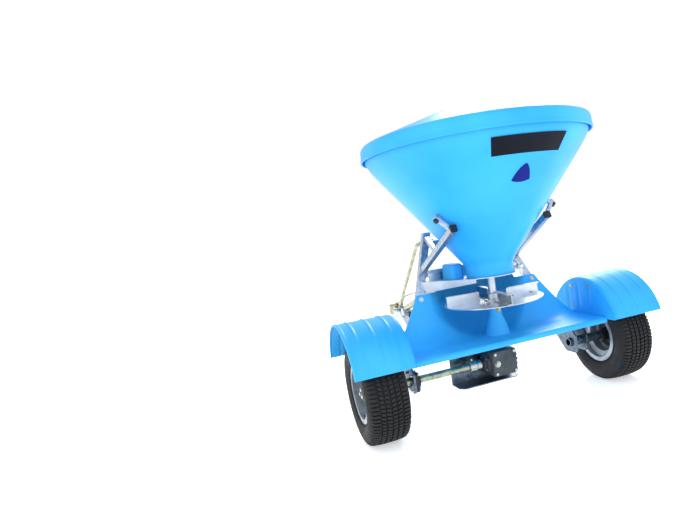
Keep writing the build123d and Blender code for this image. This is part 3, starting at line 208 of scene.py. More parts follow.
finishes = {
    "polyethylene": polyethyleneMaterial("rotomouldedPolyethylene", "#27A5F0", "#3DBAFA"),
    "galvanised": galvanisedMaterial("hotDipGalvanisedSteel", "#8D9AA6", "#C9D3DC"),
    # A darker copy of the galvanised finish for the parts low under the machine: its darkness is painted
    # shade
    "paintedShadeGalvanised": galvanisedMaterial("paintedShadeGalvanising", "#4C5863", "#7A8995", 14),
    "passivated": galvanisedMaterial("passivatedZincPlate", "#7F8468", "#BFC2A6", 30, (0.24, 0.40)),
    "stainless": rolledSheetMaterial("rolledStainlessSheet", "#AEB7C0", "#D3DAE0"),
    "zinc": plainMaterial("brightZincPlate", "#9FA39C", "#C9CBC2", (0.22, 0.38), 1.0, 4.0, 0.04),
    "gearCasting": castIronMaterial("paintedGreyCasting", "#33383B", "#4C5356"),
    "blackCasting": castIronMaterial("blackPaintedCasting", "#0B0C0D", "#191B1D", (0.35, 0.55)),
    "bearingSteel": plainMaterial("oiledGroundSteel", "#8B8E90", "#A9ACAE", (0.15, 0.3), 1.0),
    "bronze": plainMaterial("sinteredBronze", "#8A6B3A", "#A98449", (0.35, 0.5), 1.0),
    "rubber": rubberMaterial("vulcanisedTyreRubber", "#08090A", "#15171A"),
    "enamel": enamelMaterial("silverWheelEnamel", "#87929B", "#B4BFC7"),
    "labelVinyl": plainMaterial("darkLabelVinyl", "#0B0E16", "#10141F", (0.5, 0.62), 0.0, 60, 0.01, 0.12),
    "badgeVinyl": plainMaterial("navyBadgeVinyl", "#0E1A78", "#142288", (0.5, 0.62), 0.0, 60, 0.01, 0.12),
    "yellowZinc": plainMaterial("yellowPassivatedZinc", "#B79A54", "#D3BC7C", (0.25, 0.4), 1.0, 4.0, 0.04),
    "blackPlastic": plainMaterial("blackMouldedCap", "#070708", "#111214", (0.38, 0.55)),
}
slotFinish = {"galvanised_steel": "galvanised", "stainless_steel": "stainless", "zinc_plated_steel": "zinc",
              "blue_polyethylene": "polyethylene", "gearbox_iron": "gearCasting",
              "black_iron": "blackCasting", "bearing_steel": "bearingSteel", "bush_bronze": "bronze",
              "tyre_rubber": "rubber", "rim_silver": "enamel", "black_plastic": "blackPlastic"}
# The axle hangers, stub axle and skid plate take the darker galvanised copy, which paints shade on them
nodeFinish = {"rate_lever": "passivated", "coupling_body": "passivated", "centre_stay": "passivated",
              "coupling_latch": "passivated", "drive_shaft": "passivated", "axle_hangers": "paintedShadeGalvanised",
              "stub_axle": "paintedShadeGalvanised", "skid_plate": "paintedShadeGalvanised", "hopper_bolts": "blackCasting"}
for row in frame["record"]["subparts"]:
    piece = nodes[row["node"]]
    finish = finishes[nodeFinish.get(row["node"], slotFinish[row["material_slot"]])]
    piece.data.materials.clear()
    piece.data.materials.append(finish)
print("materials made:", len(finishes))


# ---- mesh helpers ----

def keepMesh(mesh, name, body, finish, smoothAngle=35):
    piece = bpy.data.objects.new(name, mesh)
    scene.collection.objects.link(piece)
    mesh.materials.clear()
    mesh.materials.append(finishes[finish])
    if smoothAngle:
        for polygon in mesh.polygons:
            polygon.use_smooth = True
        mesh.set_sharp_from_angle(angle=math.radians(smoothAngle))
    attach(piece, body)
    return piece


def bmeshToMesh(work, name):
    mesh = bpy.data.meshes.new(name)
    work.to_mesh(mesh)
    work.free()
    return mesh


def turnProfile(profile, steps, closed=False, axis="X"):
    # Points are (along, radius); the surface is turned about the local X or Z axis
    work = bmesh.new()
    rings = []
    for step in range(steps):
        angle = 2 * math.pi * step / steps
        ring = []
        for along, radius in profile:
            across, up = radius * math.cos(angle), radius * math.sin(angle)
            ring.append(work.verts.new((along, across, up) if axis == "X" else (across, up, along)))
        rings.append(ring)
    count = len(profile)
    for step in range(steps):
        here, there = rings[step], rings[(step + 1) % steps]
        for i in range(count if closed else count - 1):
            j = (i + 1) % count
            work.faces.new((here[i], here[j], there[j], there[i]))
    bmesh.ops.remove_doubles(work, verts=work.verts, dist=1e-6)
    bmesh.ops.recalc_face_normals(work, faces=work.faces)
    return work


def smoothLine(points, per=6):
    # A Catmull-Rom line through the points
    out = []
    for i in range(len(points) - 1):
        p0 = points[max(i - 1, 0)]
        p1, p2 = points[i], points[i + 1]
        p3 = points[min(i + 2, len(points) - 1)]
        for k in range(per):
            t = k / per
            out.append(tuple(0.5 * (2 * b + (c - a) * t + (2 * a - 5 * b + 4 * c - d) * t * t
                                    + (3 * b - a - 3 * c + d) * t ** 3)
                             for a, b, c, d in zip(p0, p1, p2, p3)))
    out.append(tuple(points[-1]))
    return out


# Geometry Nodes: copies of the incoming mesh turned about its own X axis
def ringTree():
    tree = bpy.data.node_groups.new("ringOfCopies", "GeometryNodeTree")
    face = tree.interface
    face.new_socket("Geometry", in_out="INPUT", socket_type="NodeSocketGeometry")
    face.new_socket("Count", in_out="INPUT", socket_type="NodeSocketInt")
    face.new_socket("Material", in_out="INPUT", socket_type="NodeSocketMaterial")
    face.new_socket("Geometry", in_out="OUTPUT", socket_type="NodeSocketGeometry")
    given = tree.nodes.new("NodeGroupInput")
    result = tree.nodes.new("NodeGroupOutput")
    line = addNode(tree, "GeometryNodeMeshLine", {"Offset": (0, 0, 0)}, {"Count": given.outputs["Count"]})
    single = addNode(tree, "GeometryNodeGeometryToInstance", {}, {"Geometry": given.outputs["Geometry"]})
    index = addNode(tree, "GeometryNodeInputIndex")
    share = addNode(tree, "ShaderNodeMath", {}, {0: index.outputs[0], 1: given.outputs["Count"]},
                    operation="DIVIDE")
    turn = addNode(tree, "ShaderNodeMath", {1: 2 * math.pi}, {0: share.outputs[0]}, operation="MULTIPLY")
    angles = addNode(tree, "ShaderNodeCombineXYZ", {}, {"X": turn.outputs[0]})
    copies = addNode(tree, "GeometryNodeInstanceOnPoints", {},
                     {"Points": line.outputs["Mesh"], "Instance": single.outputs[0],
                      "Rotation": angles.outputs[0]})
    real = addNode(tree, "GeometryNodeRealizeInstances", {}, {"Geometry": copies.outputs[0]})
    painted = addNode(tree, "GeometryNodeSetMaterial", {}, {"Geometry": real.outputs[0],
                      "Material": given.outputs["Material"]})
    tree.links.new(painted.outputs[0], result.inputs["Geometry"])
    return tree


def runTree(mesh, tree, values):
    # Evaluates the tree on the mesh and returns a plain mesh
    holder = bpy.data.objects.new("holder", mesh)
    scene.collection.objects.link(holder)
    modifier = holder.modifiers.new("tree", "NODES")
    modifier.node_group = tree
    for item in tree.interface.items_tree:
        if item.item_type == "SOCKET" and item.in_out == "INPUT" and item.name in values:
            modifier[item.identifier] = values[item.name]
    graph = bpy.context.evaluated_depsgraph_get()
    made = bpy.data.meshes.new_from_object(holder.evaluated_get(graph))
    bpy.data.objects.remove(holder)
    return made


ringCopies = ringTree()


# ---- tyres: a smooth carcass with turf blocks, shoulder lugs and sidewall rings ----

tyre = {"pitches": 40, "blockHeight": 0.0065, "treadRadius": 0.203, "halfTread": 0.0665,
        "steps": 120}


def carcassRadius(x):
    # Crown line under the blocks, 3 mm lower at the shoulders than in the middle
    return tyre["treadRadius"] - tyre["blockHeight"] - 0.0035 * (abs(x) / tyre["halfTread"]) ** 2


def carcassProfile():
    crown = [(x / 1000, carcassRadius(x / 1000)) for x in range(-60, 61, 10)]
    right = smoothLine([(0.060, carcassRadius(0.060)), (0.0715, 0.1885), (0.0795, 0.176), (0.0822, 0.160),
                        (0.0802, 0.143), (0.0745, 0.1285), (0.0680, 0.1205), (0.0650, 0.1165)], 5)[1:]
    # Three raised rings on the sidewall and a rim guard beside the bead
    rings = []
    for x, r in right:
        lift = sum(h * math.exp(-((r - at) / w) ** 2) for at, h, w in
                   ((0.1715, 0.0011, 0.0013), (0.1470, 0.0010, 0.0013), (0.1275, 0.0018, 0.0022)))
        rings.append((x + lift, r))
    inner = [(0.0650, 0.1022), (0.0520, 0.1022), (0.0535, 0.116), (0.0660, 0.1330), (0.0710, 0.158),
             (0.0640, 0.1790), (0.0400, 0.1870)]
    half = rings + inner
    left = [(-x, r) for x, r in reversed(half)]
    return crown + half + left


def blockOn(work, x0, x1, a0, a1, height, skew=0.0, rows=1):
    # One tread block between two widths and two angles, following the carcass, with drawn-in sides
    low, top = [], []
    for r in range(rows + 1):
        x = x0 + (x1 - x0) * r / rows
        shift = skew * r / rows
        for a in (a0, a1):
            middleX, middleA = (x0 + x1) / 2, (a0 + a1) / 2 + skew / 2
            for store, lift, draw in ((low, -0.002, 1.0), (top, height, 0.86)):
                xx = middleX + (x - middleX) * draw
                aa = middleA + (a + shift - middleA) * draw
                radius = profileRadius(xx) + lift
                store.append(work.verts.new((xx, radius * math.sin(aa), radius * math.cos(aa))))
    for r in range(rows):
        i = 2 * r
        work.faces.new((top[i], top[i + 1], top[i + 3], top[i + 2]))
        work.faces.new((low[i], top[i], top[i + 2], low[i + 2]))
        work.faces.new((low[i + 1], low[i + 3], top[i + 3], top[i + 1]))
    work.faces.new((low[0], low[1], top[1], top[0]))
    i = 2 * rows
    work.faces.new((low[i], top[i], top[i + 1], low[i + 1]))
    work.faces.new([low[j] for j in range(0, 2 * rows + 2, 2)] + [low[j] for j in range(2 * rows + 1, 0, -2)])


def profileRadius(x):
    x = abs(x)
    if x <= 0.060:
        return carcassRadius(x)
    t = (x - 0.060) / 0.0215
    return carcassRadius(0.060) - 0.0345 * (1 - math.sqrt(max(0.0, 1 - min(t, 1) ** 2))) - 0.002 * t


def tyreMesh():
    pitch = 2 * math.pi / tyre["pitches"]
    work = bmesh.new()
    height = tyre["blockHeight"]
    for side in (-1, 1):
        # centre pairs of slanted blocks, then an intermediate row, then lugs over the shoulder
        blockOn(work, side * 0.0025, side * 0.0195, 0.06 * pitch, 0.46 * pitch, height, 0.16 * pitch)
        blockOn(work, side * 0.0025, side * 0.0195, 0.56 * pitch, 0.96 * pitch, height, 0.16 * pitch)
        blockOn(work, side * 0.0235, side * 0.0400, 0.14 * pitch, 0.52 * pitch, height, 0.16 * pitch)
        blockOn(work, side * 0.0235, side * 0.0400, 0.64 * pitch, 1.02 * pitch, height, 0.16 * pitch)
        blockOn(work, side * 0.0440, side * 0.0785, 0.08 * pitch, 0.44 * pitch,
                height * 0.92, 0.05 * pitch, 5)
        blockOn(work, side * 0.0440, side * 0.0740, 0.58 * pitch, 0.94 * pitch,
                height * 0.92, 0.05 * pitch, 4)
    bmesh.ops.recalc_face_normals(work, faces=work.faces)
    blocks = runTree(bmeshToMesh(work, "treadPitch"), ringCopies,
                     {"Count": tyre["pitches"], "Material": finishes["rubber"]})
    body = turnProfile(carcassProfile(), tyre["steps"], closed=True)
    body.from_mesh(blocks)
    return bmeshToMesh(body, "turfTyre")


for side, label, body in ((-1, "left", "drive_axle"), (1, "right", "idler_wheel")):
    mesh = tyreMesh()
    mesh.transform(Matrix.Translation((side * wheelX, axleY, axleZ)))
    piece = keepMesh(mesh, label + "TurfTyre", body, "rubber", 40)
    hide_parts(label + "_tyre")
print("tyres made")


# ---- moulded shells: a grid of points becomes a closed wall of even thickness ----

def shellFrom(rows, wall, closedRows=False):
    work = bmesh.new()
    outer = [[work.verts.new(point) for point in row] for row in rows]
    last = len(rows) if closedRows else len(rows) - 1
    wide = len(rows[0])
    for i in range(last):
        for j in range(wide - 1):
            here, there = outer[i], outer[(i + 1) % len(rows)]
            work.faces.new((here[j], there[j], there[j + 1], here[j + 1]))
    work.normal_update()
    inner = [[work.verts.new(v.co - v.normal * wall) for v in row] for row in outer]
    for i in range(last):
        k = (i + 1) % len(rows)
        for j in range(wide - 1):
            work.faces.new((inner[i][j], inner[i][j + 1], inner[k][j + 1], inner[k][j]))
        for j in (0, wide - 1):
            work.faces.new((outer[i][j], inner[i][j], inner[k][j], outer[k][j]) if j
                           else (outer[i][j], outer[k][j], inner[k][j], inner[i][j]))
    if not closedRows:
        for i in (0, last):
            for j in range(wide - 1):
                work.faces.new((outer[i][j], outer[i][j + 1], inner[i][j + 1], inner[i][j]))
    bmesh.ops.recalc_face_normals(work, faces=work.faces)
    return work


def roundedLine(points, radii, steps=5):
    # A polyline whose inner corners are replaced by short curves of the given reach
    out = [points[0]]
    for i in range(1, len(points) - 1):
        before, here, after = (Vector(points[i + k]) for k in (-1, 0, 1))
        reach = radii[i - 1]
        first = here + (before - here).normalized() * min(reach, (before - here).length * 0.49)
        final = here + (after - here).normalized() * min(reach, (after - here).length * 0.49)
        for k in range(steps + 1):
            t = k / steps
            out.append(tuple(first * (1 - t) ** 2 + here * 2 * t * (1 - t) + final * t * t))
    out.append(points[-1])
    return out


def bump(x, centre, half):
    # A smooth raised bead, 1 in its middle and 0 beyond its half width
    t = abs(x - centre) / half
    return 0.0 if t >= 1 else (1 - t * t) ** 2


# ---- hopper and lid: turned shells with a soft crease, a rounded shoulder and a rolled rim ----

hopper = {"neck": 0.099, "foot": 0.569, "crease": 0.617, "coneTop": 1.068, "rim": 1.129, "wide": 0.446,
          "wall": 0.006, "bead": 0.008, "steps": 160}
lid = {"radius": 0.464, "shoulder": 1.135, "rise": 0.142, "skirt": 0.052, "wall": 0.005, "steps": 160}


def hopperMesh():
    # Points are (height, radius): up the outside, over the rolled rim and down the inside
    h = hopper
    outside = roundedLine([(h["foot"], h["neck"]), (h["crease"], h["neck"]), (h["coneTop"], h["wide"]),
                           (h["rim"] - 0.022, h["wide"]), (h["rim"] - 0.012, h["wide"] + h["bead"]),
                           (h["rim"], h["wide"] + h["bead"]), (h["rim"], h["wide"] - h["wall"])],
                          [0.022, 0.075, 0.006, 0.005, 0.004], 7)
    inside = roundedLine([(h["rim"] - 0.003, h["wide"] - h["wall"]),
                          (h["coneTop"] + 0.002, h["wide"] - h["wall"]),
                          (h["crease"] + 0.002, h["neck"] - h["wall"]), (h["foot"], h["neck"] - h["wall"])],
                         [0.07, 0.02], 6)
    return turnProfile(outside + inside, h["steps"], closed=True, axis="Z")


def lidMesh():
    h = lid
    low = h["shoulder"] - h["skirt"]
    apex = h["shoulder"] + h["rise"]
    outside = roundedLine([(apex, 0.0), (apex - 0.001, 0.020), (h["shoulder"] + 0.002, h["radius"] - 0.006),
                           (low + 0.013, h["radius"] - 0.003), (low + 0.004, h["radius"] - 0.0002),
                           (low, h["radius"] - 0.0012), (low, h["radius"] - 0.006)],
                          [0.03, 0.016, 0.006, 0.003, 0.001], 8)
    inside = roundedLine([(low + 0.01, h["radius"] - 0.0085), (h["shoulder"] - 0.004, h["radius"] - 0.011),
                          (apex - 0.006, 0.015), (apex - 0.0055, 0.0)], [0.012, 0.02], 5)
    return turnProfile(outside + inside, h["steps"], axis="Z")


for label, maker, body in (("hopperShell", hopperMesh, "chassis"), ("lidShell", lidMesh, "lid")):
    mesh = bmeshToMesh(maker(), label)
    mesh.transform(Matrix.Translation((0, axleY, 0)))
    piece = keepMesh(mesh, label, body, "polyethylene", 50)
    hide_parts("hopper" if body == "chassis" else "lid")
print("hopper and lid made")


# ---- mudguards: one moulding each, with a fluted inner wall, a soft shoulder, three beads and a lip ----

guard = {"inner": 0.441, "width": 0.232, "y": 0.016, "z": 0.243, "radius": 0.239, "end": 17, "wall": 0.005,
         "corner": 0.016, "base": 0.307, "beads": (0.24, 0.52, 0.80), "flutes": (-0.058, 0.014, 0.086),
         "rows": 96}


def guardMesh():
    g = guard
    rows = []
    for i in range(g["rows"] + 1):
        angle = math.radians(g["end"] + (180 - 2 * g["end"]) * i / g["rows"])
        along, rise = math.cos(angle), math.sin(angle)
        row = []
        edge = g["radius"] - g["corner"]
        top = g["z"] + edge * rise
        for k in range(15):
            z = g["base"] + (top - g["base"]) * k / 14
            y = edge * along
            fade = max(0.0, min(1.0, (top - z) / 0.03)) * max(0.0, min(1.0, (z - g["base"] - 0.012) / 0.02))
            dent = 0.0045 * max(bump(y, f, 0.015) for f in g["flutes"]) * fade
            row.append((g["inner"] + dent, y, z))
        for k in range(1, 7):
            turn = math.radians(90 * k / 6)
            out = edge + g["corner"] * math.sin(turn)
            row.append((g["inner"] + g["corner"] * (1 - math.cos(turn)), out * along, g["z"] + out * rise))
        first, final = g["inner"] + g["corner"], g["inner"] + g["width"] - 0.003
        for k in range(1, 61):
            x = first + (final - first) * k / 60
            share = (x - g["inner"]) / g["width"]
            lift = 0.0036 * max(bump(share, b, 0.032) for b in g["beads"])
            lift += 0.0026 * max(0.0, min(1.0, (share - 0.945) / 0.02))
            row.append((x, (g["radius"] + lift) * along, g["z"] + (g["radius"] + lift) * rise))
        lastX, lastR = final, g["radius"] + 0.0026
        row.append((lastX + 0.0022, (lastR - 0.001) * along, g["z"] + (lastR - 0.001) * rise))
        row.append((lastX + 0.003, (lastR - 0.004) * along, g["z"] + (lastR - 0.004) * rise))
        row.append((lastX + 0.003, (lastR - 0.009) * along, g["z"] + (lastR - 0.009) * rise))
        rows.append(row)
    return shellFrom(rows, g["wall"] * 0.8)


for side, label in ((-1, "left"), (1, "right")):
    mesh = bmeshToMesh(guardMesh(), label + "Mudguard")
    mesh.transform(Matrix.Translation((0, axleY + guard["y"], 0)) @ Matrix.Diagonal((side, 1, 1, 1)))
    if side < 0:
        mesh.flip_normals()
    piece = keepMesh(mesh, label + "Mudguard", "chassis", "polyethylene", 45)
    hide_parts(label + "_mudguard")
print("mudguards made")


# ---- apron: one moulded sheet with a rolled rear lip, a curved toe and a soft bowl behind the disc ----

apron = {"half": 0.440, "floor": 0.312, "rear": -0.146, "lip": 0.018, "top": 0.544, "stripTop": 0.518,
         "neck": 0.190, "bowl": 0.227, "bowlFoot": 0.060, "toe": 0.090, "wall": 0.0045, "columns": 132}


def softMax(a, b, blend):
    return (a + b + math.sqrt((a - b) ** 2 + blend ** 2)) / 2


def wallY(z):
    # Rear face of the wall, which leans forward with the uprights
    return 0.0651 + 0.3305 * (z - 0.303)


def bowlY(x, z):
    # How far forward the round bowl reaches at this width and height
    climb = apron["bowl"] - apron["bowlFoot"]
    up = min(1.0, max(0.0, (z - apron["floor"]) / climb))
    radius = apron["bowlFoot"] + climb * math.sqrt(1 - (1 - up) ** 2)
    return math.sqrt(max(0.0, radius ** 2 - x ** 2))


def apronTop(x):
    # The outline: a tall middle, a strip across both uprights, then a fall to the mudguards
    x = abs(x)
    if x <= apron["neck"]:
        return apron["top"]
    if x <= 0.290:
        return apron["stripTop"] + 0.026 * max(0.0, 1 - (x - apron["neck"]) / 0.006)
    share = (x - 0.290) / (apron["half"] - 0.290)
    return apron["floor"] + 0.004 + (apron["stripTop"] - apron["floor"] - 0.004) * (1 - share) ** 1.25


def apronRow(x):
    a = apron
    floor, toeY = a["floor"], wallY(a["floor"])
    row = [(x, a["rear"], floor - a["lip"]), (x, a["rear"], floor - 0.008),
           (x, a["rear"] + 0.0008, floor - 0.004),
           (x, a["rear"] + 0.003, floor - 0.001), (x, a["rear"] + 0.007, floor)]
    toeStart = toeY - a["toe"]
    for k in range(1, 11):
        row.append((x, a["rear"] + 0.007 + (toeStart - a["rear"] - 0.007) * k / 10, floor))
    top = max(apronTop(x), floor + 0.004)
    toeTop = min(floor + 0.085, top)
    for k in range(1, 15):
        t = k / 14
        y = toeStart * (1 - t) ** 2 + toeY * 2 * t * (1 - t) + wallY(toeTop) * t * t
        z = floor * (1 - t) ** 2 + floor * 2 * t * (1 - t) + toeTop * t * t
        row.append((x, softMax(y, bowlY(x, z), 0.045 * t), z))
    for k in range(1, 17):
        z = toeTop + (top - toeTop) * k / 16
        row.append((x, softMax(wallY(z), bowlY(x, z), 0.045), z))
    return row


def apronMesh():
    count = apron["columns"]
    stations = sorted({round(apron["half"] * (2 * i / count - 1), 5) for i in range(count + 1)}
                      | {s * x for s in (-1, 1) for x in (0.1905, 0.1965, 0.290)})
    return shellFrom([apronRow(x) for x in stations], -apron["wall"])


mesh = bmeshToMesh(apronMesh(), "mouldedApron")
mesh.transform(Matrix.Translation((0, axleY, 0)))
piece = keepMesh(mesh, "mouldedApron", "chassis", "polyethylene", 50)
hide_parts("apron")
print("apron made")


# ---- two plain dark panels lie on the hopper's rear face, each following the cone ----

def conePoint(turn, z, lift=0.0):
    # A point on the cone; turn is in degrees from the straight rear, positive to the right
    h = hopper
    radius = h["neck"] + (z - h["crease"]) * (h["wide"] - h["neck"]) / (h["coneTop"] - h["crease"])
    lean = math.atan2(h["wide"] - h["neck"], h["coneTop"] - h["crease"])
    angle = math.radians(turn - 90)
    radius += lift * math.cos(lean)
    return (radius * math.cos(angle), axleY + radius * math.sin(angle), z - lift * math.sin(lean))


def panelMesh(outline, count, rows):
    # The outline gives the left and right turn and the low and high edge at each share of the width
    grid = []
    for i in range(count + 1):
        turn, low, high = outline(i / count)
        grid.append([conePoint(turn, low + (high - low) * k / rows, 0.0008) for k in range(rows + 1)])
    return shellFrom(grid, 0.0006)


def labelOutline(t):
    return -19.5 + 39.5 * t, 1.000, 1.056


def badgeOutline(t):
    # A rounded shield: a blunt point leaning right above a broad, gently bowed base
    rise = max(0.0, 1 - abs((t - 0.6) / (0.6 if t < 0.6 else 0.4)) ** 1.5)
    return -7.0 + 12.6 * t, 0.916 - 0.006 * (1 - (2 * t - 1) ** 2), 0.918 + 0.050 * rise ** 0.85


panels = {"labelPanel": (labelOutline, 40, 6, "labelVinyl"),
          "badgePanel": (badgeOutline, 28, 6, "badgeVinyl")}
for name, (outline, count, rowCount, finish) in panels.items():
    keepMesh(bmeshToMesh(panelMesh(outline, count, rowCount), name), name, "chassis", finish,
             60)
print("panels made")


# ---- small round parts turned on a shared helper: washers, valves, a plug, a grease nipple and a bolt ----

def turnedAt(profile, steps, at, outward):
    # Turns (along, radius) points about the outward direction and stands them at a point
    work = turnProfile(profile, steps)
    axis = Vector(outward).normalized()
    work.transform(Matrix.Translation(at) @ axis.to_track_quat("X", "Z").to_matrix().to_4x4())
    return work


def joined(works, name):
    whole = bmesh.new()
    for work in works:
        mesh = bmeshToMesh(work, "bit")
        whole.from_mesh(mesh)
        bpy.data.meshes.remove(mesh)
    return bmeshToMesh(whole, name)


def washer(radius, hole, thick):
    edge = thick * 0.25
    return [(0.0, hole), (0.0, radius), (thick - edge, radius), (thick, radius - edge), (thick, hole)]


# ---- boot, washers, valves, plugs and a grease nipple ----

boot = {"floor": 0.312, "top": 0.441, "steps": 72}


def bootMesh():
    outside = smoothLine([(boot["floor"] - 0.001, 0.0600), (boot["floor"] + 0.004, 0.0530),
                          (boot["floor"] + 0.020, 0.0480), (boot["floor"] + 0.050, 0.0400),
                          (boot["floor"] + 0.080, 0.0300), (boot["top"] - 0.022, 0.0262),
                          (boot["top"] - 0.004, 0.0252), (boot["top"], 0.0225)], 5)
    inside = [(z - 0.001, r - 0.004) for z, r in reversed(outside[4:-4])]
    return turnProfile(outside + inside, boot["steps"], closed=True, axis="Z")


mesh = bmeshToMesh(bootMesh(), "flaredBoot")
mesh.transform(Matrix.Translation((0, axleY, 0)))
piece = keepMesh(mesh, "flaredBoot", "chassis", "polyethylene", 60)
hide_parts("shaft_boot")

plainWasher = washer(0.0092, 0.0042, 0.0016)
wallLean = math.atan2(0.156, 0.472)
# Where the bolts pass through the mudguards' inner walls and the apron's leaning sides
guardBolt = {"ys": (0.072, -0.045), "z": 0.441}
apronBolt = {"x": 0.2728, "y": 0.1281, "z": 0.5}
washers = [turnedAt(plainWasher, 20,
                    (side * (guard["inner"] - 0.0001), axleY + y, guardBolt["z"]), (-side, 0, 0))
           for side in (-1, 1) for y in guardBolt["ys"]]
washers += [turnedAt(washer(0.0105, 0.0042, 0.0016), 20,
                     (side * apronBolt["x"], axleY + apronBolt["y"], apronBolt["z"]),
                     (0, -math.cos(wallLean), math.sin(wallLean))) for side in (-1, 1)]
keepMesh(joined(washers, "plainWashers"), "plainWashers", "chassis", "zinc", 35)

valve = [(0.0, 0.0), (0.0, 0.0085), (0.003, 0.0078), (0.007, 0.0052), (0.016, 0.0042), (0.017, 0.0048),
         (0.031, 0.0046), (0.033, 0.0038), (0.034, 0.0)]
for side, label, body in ((-1, "left", "drive_axle"), (1, "right", "idler_wheel")):
    foot = (side * (wheelX + 0.030), axleY, axleZ + side * 0.0872)
    work = turnedAt(valve, 18, foot, (side, 0, 0.12 * side))
    keepMesh(joined([work], label + "TyreValve"), label + "TyreValve", body,
             "blackPlastic", 40)

hexPlug = [(0.0, 0.0), (0.0, 0.011), (0.0015, 0.0115), (0.006, 0.0115), (0.0075, 0.0105), (0.0075, 0.0)]
plugSpot = (-0.048, axleY - 0.0578, axleZ)
bits = [turnedAt(hexPlug, 6, plugSpot, (0, -1, 0)),
        turnedAt(washer(0.0135, 0.004, 0.0018), 24, plugSpot, (0, -1, 0))]
keepMesh(joined(bits, "gearboxFillerPlug"), "gearboxFillerPlug", "chassis", "zinc", 30)

nipple = [(0.0, 0.0), (0.0, 0.0045), (0.005, 0.0045), (0.006, 0.0028), (0.009, 0.0026), (0.0105, 0.0034),
          (0.0125, 0.003), (0.0135, 0.0012), (0.0138, 0.0)]
keepMesh(joined([turnedAt(nipple, 14, (-0.391, axleY, axleZ + 0.0318), (0.35, 0, 1))], "greaseNipple"),
         "greaseNipple", "chassis", "zinc", 40)

bootBolt = [(0.0, 0.0), (0.0, 0.0068), (0.001, 0.0074), (0.005, 0.0074), (0.006, 0.0066), (0.006, 0.0)]
bits = [turnedAt(washer(0.0095, 0.0035, 0.0016), 20, (0.003, axleY - 0.0262, 0.421), (0.1, -1, 0.08)),
        turnedAt(bootBolt, 6, (0.003, axleY - 0.0274, 0.421), (0.1, -1, 0.08))]
keepMesh(joined(bits, "bootBolt"), "bootBolt", "chassis", "yellowZinc", 30)
print("small parts made")


# Geometry Nodes: a rippled weld bead laid along the incoming edges
def beadTree():
    tree = bpy.data.node_groups.new("weldBead", "GeometryNodeTree")
    face = tree.interface
    face.new_socket("Geometry", in_out="INPUT", socket_type="NodeSocketGeometry")
    face.new_socket("Radius", in_out="INPUT", socket_type="NodeSocketFloat")
    face.new_socket("Pitch", in_out="INPUT", socket_type="NodeSocketFloat")
    face.new_socket("Material", in_out="INPUT", socket_type="NodeSocketMaterial")
    face.new_socket("Geometry", in_out="OUTPUT", socket_type="NodeSocketGeometry")
    given = tree.nodes.new("NodeGroupInput")
    result = tree.nodes.new("NodeGroupOutput")
    path = addNode(tree, "GeometryNodeMeshToCurve", {}, {"Mesh": given.outputs["Geometry"]})
    even = addNode(tree, "GeometryNodeResampleCurve", {}, {"Curve": path.outputs[0],
                   "Length": given.outputs["Pitch"]}, mode="LENGTH")
    index = addNode(tree, "GeometryNodeInputIndex")
    phase = addNode(tree, "ShaderNodeMath", {1: 2.1}, {0: index.outputs[0]}, operation="MULTIPLY")
    wave = addNode(tree, "ShaderNodeMath", {}, {0: phase.outputs[0]}, operation="SINE")
    ripple = addNode(tree, "ShaderNodeMath", {1: 0.16, 2: 1.0}, {0: wave.outputs[0]},
                     operation="MULTIPLY_ADD")
    size = addNode(tree, "ShaderNodeMath", {}, {0: ripple.outputs[0], 1: given.outputs["Radius"]},
                   operation="MULTIPLY")
    ring = addNode(tree, "GeometryNodeCurvePrimitiveCircle", {"Resolution": 7, "Radius": 1.0})
    body = addNode(tree, "GeometryNodeCurveToMesh", {"Fill Caps": True},
                   {"Curve": even.outputs[0], "Profile Curve": ring.outputs[0], "Scale": size.outputs[0]})
    real = addNode(tree, "GeometryNodeRealizeInstances", {}, {"Geometry": body.outputs[0]})
    painted = addNode(tree, "GeometryNodeSetMaterial", {}, {"Geometry": real.outputs[0],
                      "Material": given.outputs["Material"]})
    tree.links.new(painted.outputs[0], result.inputs["Geometry"])
    return tree


def squareLoop(centre, first, second):
    # Four corners with cut ends, so that the bead turns softly round a tube
    centre, first, second = Vector(centre), Vector(first), Vector(second)
    signs = ((1, 0.75), (1, -0.75), (0.75, -1), (-0.75, -1), (-1, -0.75), (-1, 0.75), (-0.75, 1), (0.75, 1))
    return [centre + first * a + second * b for a, b in signs]


def weldLoops():
    loops = []
    lean = Vector((0, 0.3305, 1)).normalized()
    for side in (-1, 1):
        splay = Vector((-side * 0.392, 0.33, 1)).normalized()
        loops.append(squareLoop((side * 0.350, 0.089, 0.3035), (0.0188, 0, 0), (0, 0.0188, 0)))
        loops.append(squareLoop((side * 0.2277, 0.1715, 0.6205), (0.0138, 0, 0), lean * 0.0152))
        loops.append(squareLoop((side * 0.1664, 0.2278, 0.723), (0, 0.0152, 0), splay * 0.0152))
        loops.append(squareLoop((side * 0.2150, 0.1868, 0.599), (0, 0.0152, 0), splay * 0.0152))
        loops.append(squareLoop((side * 0.2938, 0.1142, 0.2778), (0.0212, 0, 0), (0, 0, 0.0206)))
    return loops


def weldMesh():
    work = bmesh.new()
    for loop in weldLoops():
        corners = [work.verts.new((p.x, p.y + axleY, p.z)) for p in loop]
        for i in range(len(corners)):
            work.edges.new((corners[i], corners[(i + 1) % len(corners)]))
    return runTree(bmeshToMesh(work, "weldPaths"), beadTree(),
                   {"Radius": 0.0026, "Pitch": 0.0014, "Material": finishes["galvanised"]})


keepMesh(weldMesh(), "frameWelds", "chassis", "galvanised", 60)
print("welds made")


# ---- floor, light and camera ----

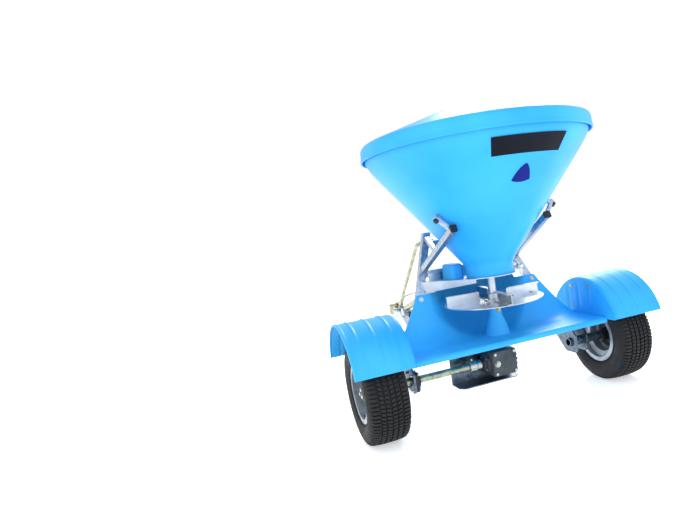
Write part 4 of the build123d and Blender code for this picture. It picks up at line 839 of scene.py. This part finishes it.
floorMesh = bpy.data.meshes.new("studioFloor")
reach = 30.0
floorMesh.from_pydata([(-reach, -reach, 0), (reach, -reach, 0), (reach, reach, 0), (-reach, reach, 0)], [],
                      [(0, 1, 2, 3)])
floor = bpy.data.objects.new("studioFloor", floorMesh)
scene.collection.objects.link(floor)
backdrop, tree, shader, place = startMaterial("brightWhiteFloor")
shader.inputs["Base Color"].default_value = hexColour("#F6F7F9")
shader.inputs["Roughness"].default_value = 0.9
shader.inputs["Emission Color"].default_value = (1, 1, 1, 1)
shader.inputs["Emission Strength"].default_value = 0.5
floorMesh.materials.append(backdrop)

scene.world = bpy.data.worlds.new("studioSky")
scene.world.use_nodes = True
sky = scene.world.node_tree
sky.nodes["Background"].inputs["Color"].default_value = hexColour("#FFFFFF")
sky.nodes["Background"].inputs["Strength"].default_value = 1.0

lamps = {
    "backKey": {"at": (2.6, 3.2, 3.4), "size": 2.2, "power": 210, "colour": "#FFFDF6"},
    "leftFill": {"at": (-3.6, -1.4, 2.2), "size": 2.4, "power": 14, "colour": "#EAF4FF"},
    "frontFill": {"at": (0.6, -4.6, 2.6), "size": 3.6, "power": 40, "colour": "#A8CCFF"},
}
for name, lamp in lamps.items():
    data = bpy.data.lights.new(name, "AREA")
    data.size = lamp["size"]
    data.energy = lamp["power"]
    data.color = hexColour(lamp["colour"])[:3]
    holder = bpy.data.objects.new(name, data)
    holder.location = lamp["at"]
    aim = Vector((0, axleY, 0.6)) - Vector(lamp["at"])
    holder.rotation_euler = aim.to_track_quat("-Z", "Y").to_euler()
    scene.collection.objects.link(holder)

view = {"at": (-1.0025, axleY - 1.9425, axleZ + 0.5989), "yaw": -19.10, "pitch": 5.99, "roll": -8.33,
        "lens": 27.14, "shift": (-0.1012, 0.0347)}
yaw, pitch, roll = (math.radians(view[key]) for key in ("yaw", "pitch", "roll"))
ahead = Vector((-math.sin(yaw) * math.cos(pitch), math.cos(yaw) * math.cos(pitch), -math.sin(pitch)))
right = ahead.cross(Vector((0, 0, 1))).normalized()
up = right.cross(ahead)
rolledRight = right * math.cos(roll) + up * math.sin(roll)
rolledUp = up * math.cos(roll) - right * math.sin(roll)
cameraData = bpy.data.cameras.new("camera")
cameraData.lens = view["lens"]
cameraData.sensor_width = 36
cameraData.shift_x, cameraData.shift_y = view["shift"]
camera = bpy.data.objects.new("camera", cameraData)
turn = Matrix((rolledRight, rolledUp, -ahead)).transposed().to_4x4()
camera.matrix_world = Matrix.Translation(view["at"]) @ turn
scene.collection.objects.link(camera)
scene.camera = camera
scene.view_settings.view_transform = "Standard"
print("floor, light and camera placed")
